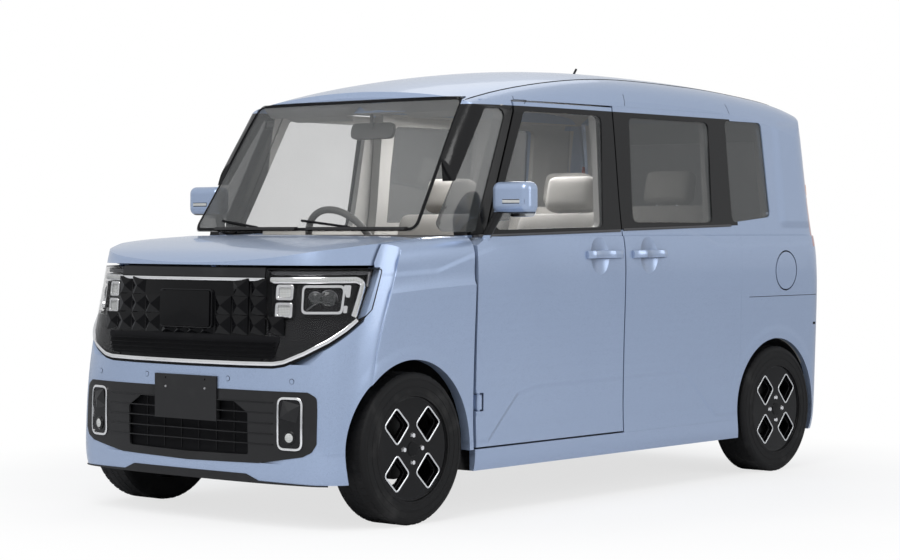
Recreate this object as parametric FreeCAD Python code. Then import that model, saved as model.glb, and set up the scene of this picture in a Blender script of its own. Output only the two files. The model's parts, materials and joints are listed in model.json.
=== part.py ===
import FreeCAD, Part
import math
import os
from FreeCAD import Vector

# A tall four-door kei car with sliding rear doors, in millimetres.
# The car faces -Y, its left side is +X, and the origin lies on the ground under its middle.

# Driving dimensions: each name becomes an alias in the document's spreadsheet
SIZES = {
    # Overall
    "body_length": 3395,
    "body_width": 1475,
    "roof_height": 1768,
    "floor_clearance": 170,
    "wheel_base": 2495,
    "front_axle_y": -1240,
    "axle_height": 281,
    # Walls and gaps
    "side_wall": 78,
    "panel_wall": 42,
    "pillar_wall": 48,
    "rail_wall": 92,
    "post_wall": 46,
    "post_width": 74,
    "roof_wall": 30,
    "shut_gap": 7,
    "seat_gap": 0.3,
    "overrun": 20,
    "glass_thick": 5,
    "glass_inset": 5,
    # Heights on the body side
    "sill_top_z": 252,
    "belt_z": 1078,
    "belt_rise": 40,
    "belt_join_z": 1060,
    "header_front_z": 1596,
    "window_top_z": 1552,
    "floor_top_z": 262,
    "floor_thick": 40,
    "boot_floor_z": 420,
    "boot_floor_y": 905,
    # Lines across the body side
    "cowl_y": -880,
    "door_split_y": 85,
    "door_rear_y": 958,
    "door_rear_top_y": 908,
    "front_window_front_y": -745,
    "front_window_lean": 245,
    "front_window_rear_y": 2,
    "front_window_rear_lean": 45,
    "slide_window_front_y": 168,
    "slide_window_front_lean": 26,
    "slide_window_rear_y": 786,
    "slide_window_rear_lean": 26,
    "quarter_window_front_y": 917,
    "quarter_window_rear_y": 1232,
    "quarter_window_lean": 20,
    "quarter_sill_rise": 26,
    "quarter_top_rise": 14,
    "window_corner": 26,
    "window_border": 44,
    # Nose and tail of the plan outlines
    "nose_depth": 400,
    "nose_lean": 60,
    "tail_depth": 170,
    # Hood and face
    "hood_rear_y": -1188,
    "hood_rear_sweep": 52,
    "hood_half_width": 690,
    "hood_front_z": 950,
    "hood_wall": 34,
    "cowl_drop": 12,
    "cowl_deep": 70,
    "fender_inner_x": 640,
    "fender_nose": 20,
    "hood_hinge_x": 590,
    "hood_hinge_y": -1105,
    "hood_hinge_z": 1040,
    "hood_hinge_pin": 6,
    "hood_hinge_eye": 11,
    "hood_arm_wide": 12,
    "hood_arm_long": 62,
    "face_rear_y": -1330,
    "grille_half_width": 378,
    "grille_bottom_z": 600,
    "lamp_top_rear_y": -1392,
    "lamp_mid_rear_y": -1478,
    "lamp_mid_z": 755,
    "lamp_low_rear_y": -1603,
    "lamp_low_z": 650,
    "intake_half_width": 560,
    "intake_bottom_z": 240,
    "intake_top_z": 503,
    "intake_depth": 32,
    "plate_half_width": 165,
    "plate_bottom_z": 382,
    "plate_top_z": 547,
    "plate_deep": 18,
    "plate_hole_x": 105,
    "plate_hole_radius": 3.5,
    "plate_hole_drop": 14,
    "bumper_rear_y": -1440,
    # Wheel arches
    "front_arch_radius": 328,
    "rear_arch_radius": 318,
    "arch_inner_x": 395,
    "rear_arch_inner_x": 470,
    "arch_lining": 8,
    # Windscreen and roof
    "screen_base_z": 1078,
    "screen_base_half": 598,
    "screen_top_z": 1606,
    "screen_top_half": 552,
    "screen_rear_limit_y": -700,
    "quarter_light_base_y": -1034,
    "quarter_light_rear_y": -838,
    "quarter_light_top_y": -596,
    "quarter_light_top_front_y": -700,
    "quarter_light_top_z": 1560,
    "roof_front_y": -770,
    "roof_rear_y": 1492,
    "gate_hinge_y": 1513,
    "gate_hinge_z": 1686,
    "gate_nose_radius": 15,
    "gate_relief_radius": 21,
    "gate_hinge_x": 200,
    "gate_hinge_pin": 5,
    "gate_hinge_eye": 9,
    "gate_arm_wide": 14,
    "roof_half_width": 560,
    "header_width": 50,
    "header_tall": 36,
    "front_header_y": -665,
    "front_header_z": 1559,
    "front_header_half": 592,
    "rear_header_y": 1435,
    "rear_header_z": 1598,
    "rear_header_half": 550,
    # Tail
    "tailgate_half_width": 590,
    "tail_window_half": 520,
    "tail_window_bottom_z": 1120,
    "tail_window_top_z": 1500,
    "tail_lamp_bottom_z": 1010,
    "tail_lamp_top_z": 1400,
    "tail_lamp_width": 74,
    "tail_lamp_side_y": 1640,
    "rear_bumper_top_z": 662,
    "rear_bumper_front_y": 1540,
    "fuel_lid_y": 1323,
    "fuel_lid_z": 903,
    "fuel_lid_radius": 84,
    "fuel_lid_thick": 5,
    "fuel_pocket_depth": 46,
    "fuel_pin_radius": 3,
    "fuel_pin_long": 64,
    "fuel_pin_inset_x": 9,
    "fuel_pin_ahead_y": 12,
    "fuel_eye_radius": 5,
    "fuel_neck_tall": 40,
    "fuel_neck_wall": 6,
    "fuel_neck_depth": 18,
    "fuel_neck_reach": 20,
    "fuel_slot_gap": 1.5,
    # Door hinges and mirrors
    "door_hinge_y": -846,
    "door_hinge_x": 712,
    "door_nose_radius": 38,
    "door_hinge_relief": 46,
    "door_hinge_pin": 8,
    "door_hinge_eye": 15,
    "door_hinge_low_z": 430,
    "door_hinge_high_z": 860,
    "door_hinge_tall": 56,
    "door_pin_grip": 22,
    "mirror_y": -768,
    "mirror_z": 1208,
    "mirror_width": 178,
    "mirror_tall": 120,
    "mirror_deep": 86,
    "mirror_inner_x": 742,
    "mirror_stalk": 18,
    "mirror_foot_back": 36,
    "mirror_foot_drop": 28,
    # Wheels
    "track_half": 650,
    "tyre_radius": 281,
    "tyre_width": 165,
    "tyre_shoulder": 22,
    "rim_radius": 203,
    "rim_lip": 10,
    "rim_width": 150,
    "rim_wall": 9,
    "rim_face_depth": 26,
    "hub_radius": 36,
    "spoke_width": 58,
    "spoke_thick": 22,
    "disc_radius": 118,
    "disc_thick": 20,
    "disc_offset": -14,
    "strut_top_x": 450,
    "strut_top_z": 830,
    "ball_joint_x": 606,
    "ball_joint_z": 196,
    "strut_radius": 22,
    "spring_radius": 58,
    "spring_low_z": 578,
    "spring_high_z": 790,
    "upright_width": 44,
    "arm_thick": 22,
    "arm_width": 38,
    # Chassis
    "subframe_half": 384,
    "rail_width": 44,
    "rail_tall": 58,
    "tower_radius": 80,
    "tower_wall": 10,
    "tower_base_z": 566,
    "tower_cap": 30,
    "subframe_z": 196,
    "subframe_tall": 50,
    "subframe_length": 330,
    "engine_length": 420,
    "engine_width": 620,
    "engine_tall": 520,
    "engine_y": -1300,
    "tank_length": 620,
    "tank_width": 560,
    "tank_tall": 62,
    "tank_x": 90,
    "tank_y": 380,
    "beam_radius": 34,
    "trail_arm_width": 56,
    "trail_arm_radius": 18,
    "trail_arm_length": 350,
    "trail_pivot_z": 187,
    "trail_bracket": 44,
    "damper_radius": 24,
    "exhaust_radius": 22,
    "exhaust_x": -320,
    "muffler_length": 130,
    "muffler_width": 300,
    "muffler_tall": 110,
    "muffler_y": 1440,
    "hanger_radius": 8,
    # Cabin
    "dash_rear_y": -560,
    "dash_top_z": 1060,
    "dash_bottom_z": 640,
    "dash_lip": 130,
    "steer_x": -370,
    "steer_y": -430,
    "steer_z": 1010,
    "steer_radius": 182,
    "steer_grip": 15,
    "steer_hub": 52,
    "column_radius": 30,
    "column_length": 200,
    "seat_x": 340,
    "seat_width": 480,
    "front_seat_y": -160,
    "rear_seat_y": 640,
    "seat_low_z": 380,
    "seat_cushion_tall": 180,
    "seat_depth": 500,
    "seat_back_tall": 600,
    "seat_back_thick": 140,
    "seat_base_half": 170,
    "head_rest_width": 260,
    "head_rest_tall": 170,
    "head_rest_thick": 100,
    "bench_width": 1160,
    # Small fittings
    "wiper_proud": 12,
    "wiper_tall": 11,
    "wiper_lift": 8,
    "wiper_length": 470,
    "wiper_left_x": -440,
    "wiper_right_x": 90,
    "wiper_post_radius": 12,
    "antenna_y": 690,
    "antenna_radius": 5,
    "antenna_length": 58,
    "antenna_foot": 16,
}

# Angles in degrees
ANGLES = {
    "seat_recline": 14,
    "steer_tilt": 28,
    "antenna_lean": 35,
}

# Plan outline from the middle to the side, as shares of the half width
NOSE_X_SHARES = (0.475, 0.65, 0.76, 0.84, 0.905, 0.955, 0.985)
# How far back each of those points lies, as shares of the nose depth, upright and leaning
NOSE_UPRIGHT_SHARES = (0.02, 0.055, 0.09, 0.13, 0.205, 0.325, 0.51)
NOSE_LEAN_SHARES = (0.048, 0.109, 0.196, 0.322, 0.457, 0.60, 0.74)
# Windscreen bow, as shares of the half width and of the bow's depth
SCREEN_X_SHARES = (0.48, 0.77, 0.85, 0.895, 0.925, 0.955, 0.975, 0.992)
SCREEN_Y_SHARES = (0.017, 0.052, 0.070, 0.095, 0.145, 0.26, 0.38, 0.65)
# Rear corners, as shares of the half width and of the tail depth
TAIL_X_SHARES = (0.989, 0.946, 0.871, 0.60, 0.30)
TAIL_Y_SHARES = (0.559, 0.247, 0.094, 0.035, 0.008)
# Lower body levels: height and side, front and rear insets as shares, with the lean
LOWER_LEVEL_SHARES = (
    (0.0961, 0.027, 0.0243, -0.08, 0.0442),
    (0.1697, 0.016, 0.0107, -0.02, 0.0198),
    (0.2715, 0.016, 0.0080, 0.10, 0.0062),
    (0.3959, 0.008, 0.0121, 0.45, 0.0035),
    (0.5119, 0.000, 0.0188, 1.00, 0.0143),
    (0.5656, 0.004, 0.0297, 1.20, 0.0252),
    (0.5995, 0.016, 0.0433, 1.30, 0.0320),
    (0.6222, 0.030, 0.0568, 1.40, 0.0374),
)
# Glasshouse levels: height, side inset, front place, bow depth and rear inset as shares
UPPER_LEVEL_SHARES = (
    (0.5882, 0.0183, -0.6863, 0.5125, 0.0360),
    (0.6222, 0.0308, -0.6622, 0.4978, 0.0420),
    (0.7523, 0.0637, -0.5690, 0.4212, 0.0650),
    (0.8880, 0.0949, -0.4719, 0.3476, 0.0880),
    (1.0294, 0.1410, -0.3723, 0.2710, 0.1240),
)
# Roof crown across and along the car, with shares of half width, of length and of height
ROOF_ACROSS_SHARES = (
    (0.339, -0.0051), (0.569, -0.0147), (0.732, -0.0266), (0.814, -0.0385),
    (0.868, -0.0583), (0.898, -0.0849), (0.919, -0.1216), (0.949, -0.1867), (0.976, -0.2545),
)
ROOF_ALONG_SHARES = (
    (-0.2651, 0.9068), (-0.2283, 0.9242), (-0.1767, 0.9473), (-0.1178, 0.9675),
    (-0.0442, 0.9859), (0.0295, 0.9972), (0.0884, 1.0000), (0.1767, 0.9983),
    (0.2651, 0.9932), (0.3535, 0.9824), (0.4212, 0.9697), (0.4713, 0.9513), (0.5184, 0.9250),
)
# Hood crown across and along the car in the same way
HOOD_ACROSS_SHARES = (
    (0.339, -0.0008), (0.610, -0.0028), (0.786, -0.0055), (0.881, -0.0080),
    (0.942, -0.0112), (0.974, -0.0232), (0.992, -0.0560), (1.010, -0.1217),
)
HOOD_ALONG_SHARES = (
    (-0.5066, 0.5260), (-0.4999, 0.5373), (-0.4919, 0.5498), (-0.4713, 0.5702),
    (-0.4418, 0.5837), (-0.3976, 0.5962), (-0.3535, 0.6029), (-0.3093, 0.6075), (-0.2504, 0.6103),
)


class Sheet:
    """Reads the sizes back from the document's spreadsheet."""

    def __init__(self, document):
        self.cells = document.addObject("Spreadsheet::Sheet", "Sizes")
        rows = list(SIZES.items()) + list(ANGLES.items())
        for row, (name, value) in enumerate(rows, start=1):
            self.cells.set("A%d" % row, name)
            self.cells.set("B%d" % row, str(value))
            self.cells.setAlias("B%d" % row, name)
        document.recompute()

    def __getattr__(self, name):
        return float(getattr(self.cells, name))


doc = FreeCAD.newDocument("KeiCar")
s = Sheet(doc)
half_length = s.body_length / 2
half_width = s.body_width / 2
rear_axle_y = s.front_axle_y + s.wheel_base
belt_rear_z = s.belt_z + s.belt_rise
SIDES = (("left", 1), ("right", -1))
ACROSS = Vector(1, 0, 0)
ALONG = Vector(0, 1, 0)
UP = Vector(0, 0, 1)


def add(name, shape):
    """Adds one sub-part to the document under its own label."""
    piece = doc.addObject("Part::Feature", name)
    piece.Label = name
    piece.Shape = shape
    return piece


def block(x0, x1, y0, y1, z0, z1):
    """A box between two corners."""
    return Part.makeBox(x1 - x0, y1 - y0, z1 - z0, Vector(x0, y0, z0))


def rod(radius, start, end):
    """A round bar from one point to another."""
    run = end - start
    return Part.makeCylinder(radius, run.Length, start, run)


def mirrored(shape):
    """The same shape on the other side of the car."""
    return shape.mirror(Vector(0, 0, 0), ACROSS)


def both(shape):
    """A left piece and its twin on the right."""
    return Part.makeCompound([shape, mirrored(shape)])


def on_side(shape, sign):
    """The left piece, or its mirror image for the right side."""
    return shape if sign > 0 else mirrored(shape)


def smooth(points, start, end):
    """A smooth edge through points with given end directions."""
    curve = Part.BSplineCurve()
    curve.interpolate(Points=points, InitialTangent=start, FinalTangent=end)
    return curve.toShape()


def side_prism(points, x0, x1):
    """A prism across the car over an outline of (y, z) points."""
    ring = [Vector(x0, y, z) for y, z in points]
    face = Part.Face(Part.makePolygon(ring + [ring[0]]))
    return face.extrude(Vector(x1 - x0, 0, 0))


def front_prism(points, y0, y1):
    """A prism along the car over an outline of (x, z) points."""
    ring = [Vector(x, y0, z) for x, z in points]
    face = Part.Face(Part.makePolygon(ring + [ring[0]]))
    return face.extrude(Vector(0, y1 - y0, 0))


def plan_prism(points, z0, z1):
    """An upright prism over an outline of (x, y) points."""
    ring = [Vector(x, y, z0) for x, y in points]
    face = Part.Face(Part.makePolygon(ring + [ring[0]]))
    return face.extrude(Vector(0, 0, z1 - z0))


def softened(shape, radius, direction):
    """Rounds the edges of a prism that run along one direction."""
    edges = []
    for edge in shape.Edges:
        run = edge.lastVertex().Point - edge.firstVertex().Point
        if run.Length > 0 and abs(run.normalize().dot(direction)) > 0.999:
            edges.append(edge)
    return shape.makeFillet(radius, edges)


def carved(shape, tools):
    """The shape with each tool cut away in turn."""
    for tool in tools:
        shape = shape.cut(tool)
    return shape


def biggest(shape):
    """The largest solid of a result."""
    return max(shape.Solids, key=lambda solid: solid.Volume)


def plan_ring(z, half, front, depth, x_shares, y_shares, rear):
    """One level's closed plan outline: nose curve, straight sides and rounded tail."""
    nose = [Vector(half * a, front + depth * b, z) for a, b in zip(x_shares, y_shares)]
    nose_end = Vector(half, front + depth, z)
    twin = [Vector(-p.x, p.y, z) for p in reversed(nose)]
    points = [Vector(-half, nose_end.y, z)] + twin + [Vector(0, front, z)] + nose + [nose_end]
    nose_edge = smooth(points, Vector(0, -1, 0), Vector(0, 1, 0))
    tail_start = Vector(half, rear - s.tail_depth, z)
    tail = [
        Vector(half * a, rear - s.tail_depth * b, z)
        for a, b in zip(TAIL_X_SHARES, TAIL_Y_SHARES)
    ]
    tail_twin = [Vector(-p.x, p.y, z) for p in reversed(tail)]
    tail_end = Vector(-half, tail_start.y, z)
    points = [tail_start] + tail + [Vector(0, rear, z)] + tail_twin + [tail_end]
    tail_edge = smooth(points, Vector(0, 1, 0), Vector(0, -1, 0))
    left = Part.LineSegment(nose_end, tail_start).toShape()
    right = Part.LineSegment(tail_end, Vector(-half, nose_end.y, z)).toShape()
    return Part.Wire([nose_edge, left, tail_edge, right])


def lower_form(inset):
    """The solid below the belt line, pulled in all round by the inset."""
    rings = []
    for height, side, front, lean, rear in LOWER_LEVEL_SHARES:
        depths = [
            a + (b - a) * lean for a, b in zip(NOSE_UPRIGHT_SHARES, NOSE_LEAN_SHARES)
        ]
        rings.append(plan_ring(
            s.roof_height * height,
            half_width * (1 - side) - inset,
            -half_length + half_width * front + inset,
            s.nose_depth + s.nose_lean * lean,
            NOSE_X_SHARES,
            depths,
            half_length - half_width * rear - inset,
        ))
    return Part.makeLoft(rings, True, False)


def upper_form(inset):
    """The solid of the glasshouse before the roof crown trims it."""
    rings = []
    for height, side, front, depth, rear in UPPER_LEVEL_SHARES:
        rings.append(plan_ring(
            s.roof_height * height,
            half_width * (1 - side) - inset,
            half_length * front + inset,
            half_length * depth,
            SCREEN_X_SHARES,
            SCREEN_Y_SHARES,
            half_length - half_width * rear - inset,
        ))
    return Part.makeLoft(rings, True, False)


def crown_form(across, along, inset, bottom):
    """A solid under a surface that is crowned across and along the car."""
    rings = []
    for y_share, z_share in along:
        y = s.body_length * y_share
        top_z = s.roof_height * z_share - inset
        right = [
            Vector(-(half_width * a), y, top_z + s.roof_height * b) for a, b in reversed(across)
        ]
        left = [Vector(half_width * a, y, top_z + s.roof_height * b) for a, b in across]
        points = right + [Vector(0, y, top_z)] + left
        curve = Part.BSplineCurve()
        curve.interpolate(points)
        first, last = points[0], points[-1]
        low_last = Vector(last.x, y, bottom)
        low_first = Vector(first.x, y, bottom)
        rings.append(Part.Wire([
            curve.toShape(),
            Part.LineSegment(last, low_last).toShape(),
            Part.LineSegment(low_last, low_first).toShape(),
            Part.LineSegment(low_first, first).toShape(),
        ]))
    return Part.makeLoft(rings, True, False)


def axle_cylinder(radius, y, x0, x1):
    """A cylinder about an axle line between two places across the car."""
    return Part.makeCylinder(radius, x1 - x0, Vector(x0, y, s.axle_height), ACROSS)


# Body forms that the panels are cut from
far = s.body_length
low_outer = lower_form(0)
low_inner = lower_form(s.side_wall)
low_panel_inner = lower_form(s.panel_wall)
hood_crown = crown_form(HOOD_ACROSS_SHARES, HOOD_ALONG_SHARES, 0, s.floor_clearance / 2)
hood_under = crown_form(
    HOOD_ACROSS_SHARES, HOOD_ALONG_SHARES, s.hood_wall, s.floor_clearance / 2
)
roof_crown = crown_form(ROOF_ACROSS_SHARES, ROOF_ALONG_SHARES, 0, s.belt_join_z / 2)
roof_under = crown_form(
    ROOF_ACROSS_SHARES, ROOF_ALONG_SHARES, s.roof_wall, s.belt_join_z / 2
)
above_belt = block(-far, far, -far, far, s.belt_join_z, far)
glass_outer = upper_form(0).common(roof_crown).common(above_belt)
glass_inner = upper_form(s.pillar_wall).common(roof_under).common(above_belt)
front_solid = low_outer.common(hood_crown)
front_inner = low_panel_inner.common(hood_under)
front_band = front_solid.cut(front_inner)

# Openings that the panels share
front_arch = axle_cylinder(s.front_arch_radius, s.front_axle_y, s.arch_inner_x, far)
rear_arch = axle_cylinder(s.rear_arch_radius, rear_axle_y, s.rear_arch_inner_x, far)
arches = Part.makeCompound([front_arch, mirrored(front_arch), rear_arch, mirrored(rear_arch)])


def door_hinge_post(radius):
    """A cylinder about the left front door's hinge line."""
    base = Vector(s.door_hinge_x, s.door_hinge_y, s.floor_clearance / 2)
    return Part.makeCylinder(radius, s.roof_height, base, UP)


def slide_door_outline(gap):
    """Outline of the sliding door, as (y, z) points; its rear edge steps in at the glass."""
    return [
        (s.door_split_y + gap, s.sill_top_z + gap),
        (s.door_rear_y - gap, s.sill_top_z + gap),
        (s.door_rear_y - gap, s.belt_join_z),
        (s.door_rear_top_y - gap, belt_rear_z),
        (s.door_rear_top_y - gap, s.header_front_z - gap),
        (s.door_split_y + gap, s.header_front_z - gap),
    ]


def front_door_outline(gap):
    """Outline of the front door, whose upper edge follows the windscreen pillar."""
    return [
        (s.cowl_y + gap, s.sill_top_z + gap),
        (s.door_split_y - gap, s.sill_top_z + gap),
        (s.door_split_y - gap, s.header_front_z - gap),
        (s.front_window_front_y + s.front_window_lean - s.window_border + gap,
         s.header_front_z - gap),
        (s.front_window_front_y - s.window_border + gap, s.belt_z - gap),
        (s.cowl_y + gap, s.belt_z - s.window_border - gap),
    ]


def front_window_outline(grow):
    """Outline of the front door's glass."""
    return [
        (s.front_window_front_y - grow, s.belt_z + s.shut_gap - grow),
        (s.front_window_rear_y - s.front_window_rear_lean + grow,
         s.belt_z + s.belt_rise / 2 - grow),
        (s.front_window_rear_y + grow, s.window_top_z + grow),
        (s.front_window_front_y + s.front_window_lean - grow, s.window_top_z + grow),
    ]


def slide_window_outline(grow):
    """Outline of the sliding door's glass."""
    sill = s.belt_z + s.belt_rise
    return [
        (s.slide_window_front_y - grow, sill - grow),
        (s.slide_window_rear_y - s.slide_window_rear_lean + grow, sill - grow),
        (s.slide_window_rear_y + grow, s.window_top_z + grow),
        (s.slide_window_front_y + s.slide_window_front_lean - grow, s.window_top_z + grow),
    ]


def quarter_window_outline(grow):
    """Outline of the rear quarter glass."""
    return [
        (s.quarter_window_front_y - grow, belt_rear_z - grow),
        (s.quarter_window_rear_y + grow, belt_rear_z + s.quarter_sill_rise - grow),
        (s.quarter_window_rear_y - s.quarter_window_lean + grow,
         s.window_top_z + s.quarter_top_rise + grow),
        (s.quarter_window_front_y - grow, s.window_top_z + s.quarter_top_rise + grow),
    ]


def quarter_light_outline(grow):
    """Outline of the small fixed glass ahead of the front door."""
    return [
        (s.quarter_light_base_y - grow, s.belt_z - grow / 2),
        (s.quarter_light_rear_y + grow, s.belt_z - grow / 2),
        (s.quarter_light_top_y + grow, s.quarter_light_top_z + grow),
        (s.quarter_light_top_front_y - grow, s.quarter_light_top_z + grow),
    ]


side_in = half_width / 2
side_out = half_width + s.overrun
glass_hole_inner = s.arch_inner_x


def window_prism(outline, grow):
    """A prism over a side window, with rounded corners."""
    prism = side_prism(outline(grow), glass_hole_inner, side_out)
    return softened(prism, s.window_corner + grow, ACROSS)


def slab_between(outer_inset, thick):
    """A thin skin that follows the glasshouse, for glass."""
    outer = upper_form(outer_inset)
    inner = upper_form(outer_inset + thick)
    return outer.cut(inner).common(above_belt)


glass_skin = slab_between(s.glass_inset, s.glass_thick)

# The whole body wall below and above the belt
cabin_zone = side_prism([
    (s.cowl_y, 0), (s.rear_bumper_front_y, 0), (s.rear_bumper_front_y, s.rear_bumper_top_z),
    (far, s.rear_bumper_top_z), (far, s.belt_join_z), (s.cowl_y, s.belt_join_z),
], -far, far)
low_wall = low_outer.common(cabin_zone).cut(low_inner.common(cabin_zone))
glass_wall = glass_outer.cut(glass_inner)
body_wall = low_wall.fuse(glass_wall)

# Door blanks and the holes that they leave
front_door_blank = side_prism(front_door_outline(0), side_in, side_out)
front_door_solid = side_prism(front_door_outline(s.shut_gap), side_in, side_out)
slide_door_blank = side_prism(slide_door_outline(0), side_in, side_out)
slide_door_solid = side_prism(slide_door_outline(s.seat_gap), side_in, side_out)


def door_hinge_levels():
    """The middle heights of the front door's two hinges."""
    return (s.door_hinge_low_z, s.door_hinge_high_z)


def door_hinge_arms():
    """The left front door's hinge arms and pins, which the post carries."""
    arms = []
    for z in door_hinge_levels():
        low = z - s.door_hinge_tall / 2
        arms.append(block(
            s.door_hinge_x - s.side_wall, s.door_hinge_x, s.door_hinge_y - s.door_hinge_eye,
            s.door_hinge_y + s.door_hinge_eye, low, low + s.door_hinge_tall,
        ))
        base = Vector(s.door_hinge_x, s.door_hinge_y, low)
        arms.append(Part.makeCylinder(s.door_hinge_eye, s.door_hinge_tall, base))
        base.z = low - s.door_pin_grip
        arms.append(Part.makeCylinder(
            s.door_hinge_pin, s.door_hinge_tall + 2 * s.door_pin_grip, base
        ))
    return arms


def door_hinge_slots():
    """The slots and pin bores in the left front door, clear of the arms as it swings."""
    slots = []
    reach = s.door_hinge_eye + s.shut_gap
    for z in door_hinge_levels():
        low = z - s.door_hinge_tall / 2
        slots.append(block(
            0, s.door_hinge_x, -far, s.door_hinge_y + reach, low - s.shut_gap,
            low + s.door_hinge_tall + s.shut_gap,
        ))
        slots.append(block(
            0, s.door_hinge_x + s.door_hinge_eye, -far, s.door_hinge_y, low - s.shut_gap,
            low + s.door_hinge_tall + s.shut_gap,
        ))
        base = Vector(s.door_hinge_x, s.door_hinge_y, low - s.shut_gap)
        slots.append(Part.makeCylinder(reach, s.door_hinge_tall + 2 * s.shut_gap, base))
        base.z = low - s.door_pin_grip - s.shut_gap
        slots.append(Part.makeCylinder(
            s.door_hinge_pin + s.seat_gap,
            s.door_hinge_tall + 2 * s.door_pin_grip + 2 * s.shut_gap, base,
        ))
    return slots


def front_door():
    """The left front door, cut from the body wall, with its window opening and mirror."""
    door = body_wall.common(front_door_solid)
    behind = block(0, far, s.door_hinge_y, far, 0, far)
    nose = door.common(behind.fuse(door_hinge_post(s.door_nose_radius)))
    reach = math.hypot(
        s.door_split_y - s.shut_gap - s.door_hinge_y, half_width - s.door_hinge_x
    )
    swing = door_hinge_post(reach)
    door = biggest(nose.common(swing).cut(door_hinge_slots()))
    door = biggest(door.cut(window_prism(front_window_outline, 0)))
    mirror = block(
        s.mirror_inner_x, s.mirror_inner_x + s.mirror_width,
        s.mirror_y - s.mirror_deep / 2, s.mirror_y + s.mirror_deep / 2,
        s.mirror_z - s.mirror_tall / 2, s.mirror_z + s.mirror_tall / 2,
    )
    mirror = mirror.makeFillet(s.mirror_deep / 3, mirror.Edges)
    foot = Vector(s.door_hinge_x, s.mirror_y - s.mirror_foot_back, s.belt_z - s.mirror_foot_drop)
    head = Vector(s.mirror_inner_x + s.mirror_width / 4, s.mirror_y, s.mirror_z)
    stalk = rod(s.mirror_stalk, foot, head)
    return biggest(door.fuse([stalk, mirror]))


def rear_house_room():
    """The room that the left rear wheel house takes, with a little gap."""
    return axle_cylinder(s.rear_arch_radius + s.arch_lining + s.seat_gap, rear_axle_y,
                         s.arch_inner_x, half_width - s.panel_wall + s.seat_gap)


def slide_door():
    """The left sliding door, cut from the body wall, with its window opening."""
    door = biggest(body_wall.common(slide_door_solid))
    door = door.cut([rear_arch, rear_house_room()])
    return biggest(door.cut(window_prism(slide_window_outline, 0)))


def side_glass(outline):
    """A side window's glass, a little smaller than its opening."""
    return biggest(glass_skin.common(window_prism(outline, -s.seat_gap)))


def screen_outline(grow):
    """Front view outline of the windscreen."""
    return [
        (-s.screen_base_half - grow, s.screen_base_z - grow),
        (s.screen_base_half + grow, s.screen_base_z - grow),
        (s.screen_top_half + grow, s.screen_top_z + grow),
        (-s.screen_top_half - grow, s.screen_top_z + grow),
    ]


def screen_prism(grow):
    """A prism over the windscreen, with rounded corners."""
    prism = front_prism(screen_outline(grow), -far, s.screen_rear_limit_y)
    return softened(prism, s.window_corner + grow, ALONG)


def tailgate_prism(gap):
    """The block that the tailgate is cut from."""
    half = s.tailgate_half_width - gap
    return block(
        -half, half, s.roof_rear_y + gap, far, s.rear_bumper_top_z + gap, far
    )


def tail_window_prism(grow):
    """A prism over the tailgate's window."""
    half = s.tail_window_half + grow
    prism = block(
        -half, half, half_length / 2, far, s.tail_window_bottom_z - grow,
        s.tail_window_top_z + grow,
    )
    return softened(prism, s.window_corner + grow, ALONG)


def roof_prism():
    """The block that the roof panel is cut from."""
    half = s.roof_half_width
    return block(-half, half, s.roof_front_y, s.roof_rear_y, s.screen_top_z, far)


def tail_lamp_prism():
    """The blocks that the left tail lamp is cut from."""
    x0 = s.tailgate_half_width
    return block(
        x0, far, s.tail_lamp_side_y - s.tail_lamp_width, far,
        s.tail_lamp_bottom_z, s.tail_lamp_top_z,
    )


def rear_bumper_prism():
    """The block that the rear bumper is cut from."""
    return block(-far, far, s.rear_bumper_front_y, far, 0, s.rear_bumper_top_z)


def fuel_lid_disc(radius, depth):
    """A cylinder across the body side at the fuel lid."""
    base = Vector(half_width - depth, s.fuel_lid_y, s.fuel_lid_z)
    return Part.makeCylinder(radius, depth + s.overrun, base, ACROSS)


def gate_hinge_rod(radius, x0, x1):
    """A round bar on the tailgate's hinge line."""
    return rod(radius, Vector(x0, s.gate_hinge_y, s.gate_hinge_z),
               Vector(x1, s.gate_hinge_y, s.gate_hinge_z))


def gate_hinge_arms():
    """The arms at the roof's rear edge, each with a bored eye for the tailgate's pin."""
    arms = []
    for middle in (-s.gate_hinge_x, s.gate_hinge_x):
        x0 = middle - s.gate_arm_wide / 2
        x1 = middle + s.gate_arm_wide / 2
        bar = block(x0, x1, s.roof_rear_y - s.overrun, s.gate_hinge_y,
                    s.gate_hinge_z - s.gate_hinge_pin, s.gate_hinge_z + s.gate_hinge_pin)
        eye = gate_hinge_rod(s.gate_hinge_eye, x0, x1)
        bore = gate_hinge_rod(s.gate_hinge_pin + s.seat_gap, x0 - s.overrun, x1 + s.overrun)
        arms.append(bar.fuse(eye).cut(bore))
    return arms


def gate_hinge_slots():
    """The slots in the tailgate round the hinge arms, open towards the front and top."""
    slots = []
    for middle in (-s.gate_hinge_x, s.gate_hinge_x):
        half = s.gate_arm_wide / 2 + s.shut_gap
        reach = s.gate_hinge_eye + s.shut_gap
        slots.append(block(
            middle - half, middle + half, -far, s.gate_hinge_y + reach,
            s.gate_hinge_z - reach, far,
        ))
    return slots


def gate_hinge_pins():
    """The pins that bridge the tailgate's hinge slots."""
    pins = []
    for middle in (-s.gate_hinge_x, s.gate_hinge_x):
        half = s.gate_arm_wide / 2 + s.shut_gap + s.gate_hinge_eye
        pins.append(gate_hinge_rod(s.gate_hinge_pin, middle - half, middle + half))
    return pins


# The fuel lid's hinge line, in the body wall just ahead of the lid
fuel_pin_x = half_width - s.fuel_pin_inset_x
fuel_pin_y = s.fuel_lid_y - s.fuel_lid_radius - s.fuel_pin_ahead_y


def fuel_pin(radius, long):
    """An upright bar on the fuel lid's hinge line."""
    return Part.makeCylinder(radius, long, Vector(fuel_pin_x, fuel_pin_y, s.fuel_lid_z - long / 2))


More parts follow.
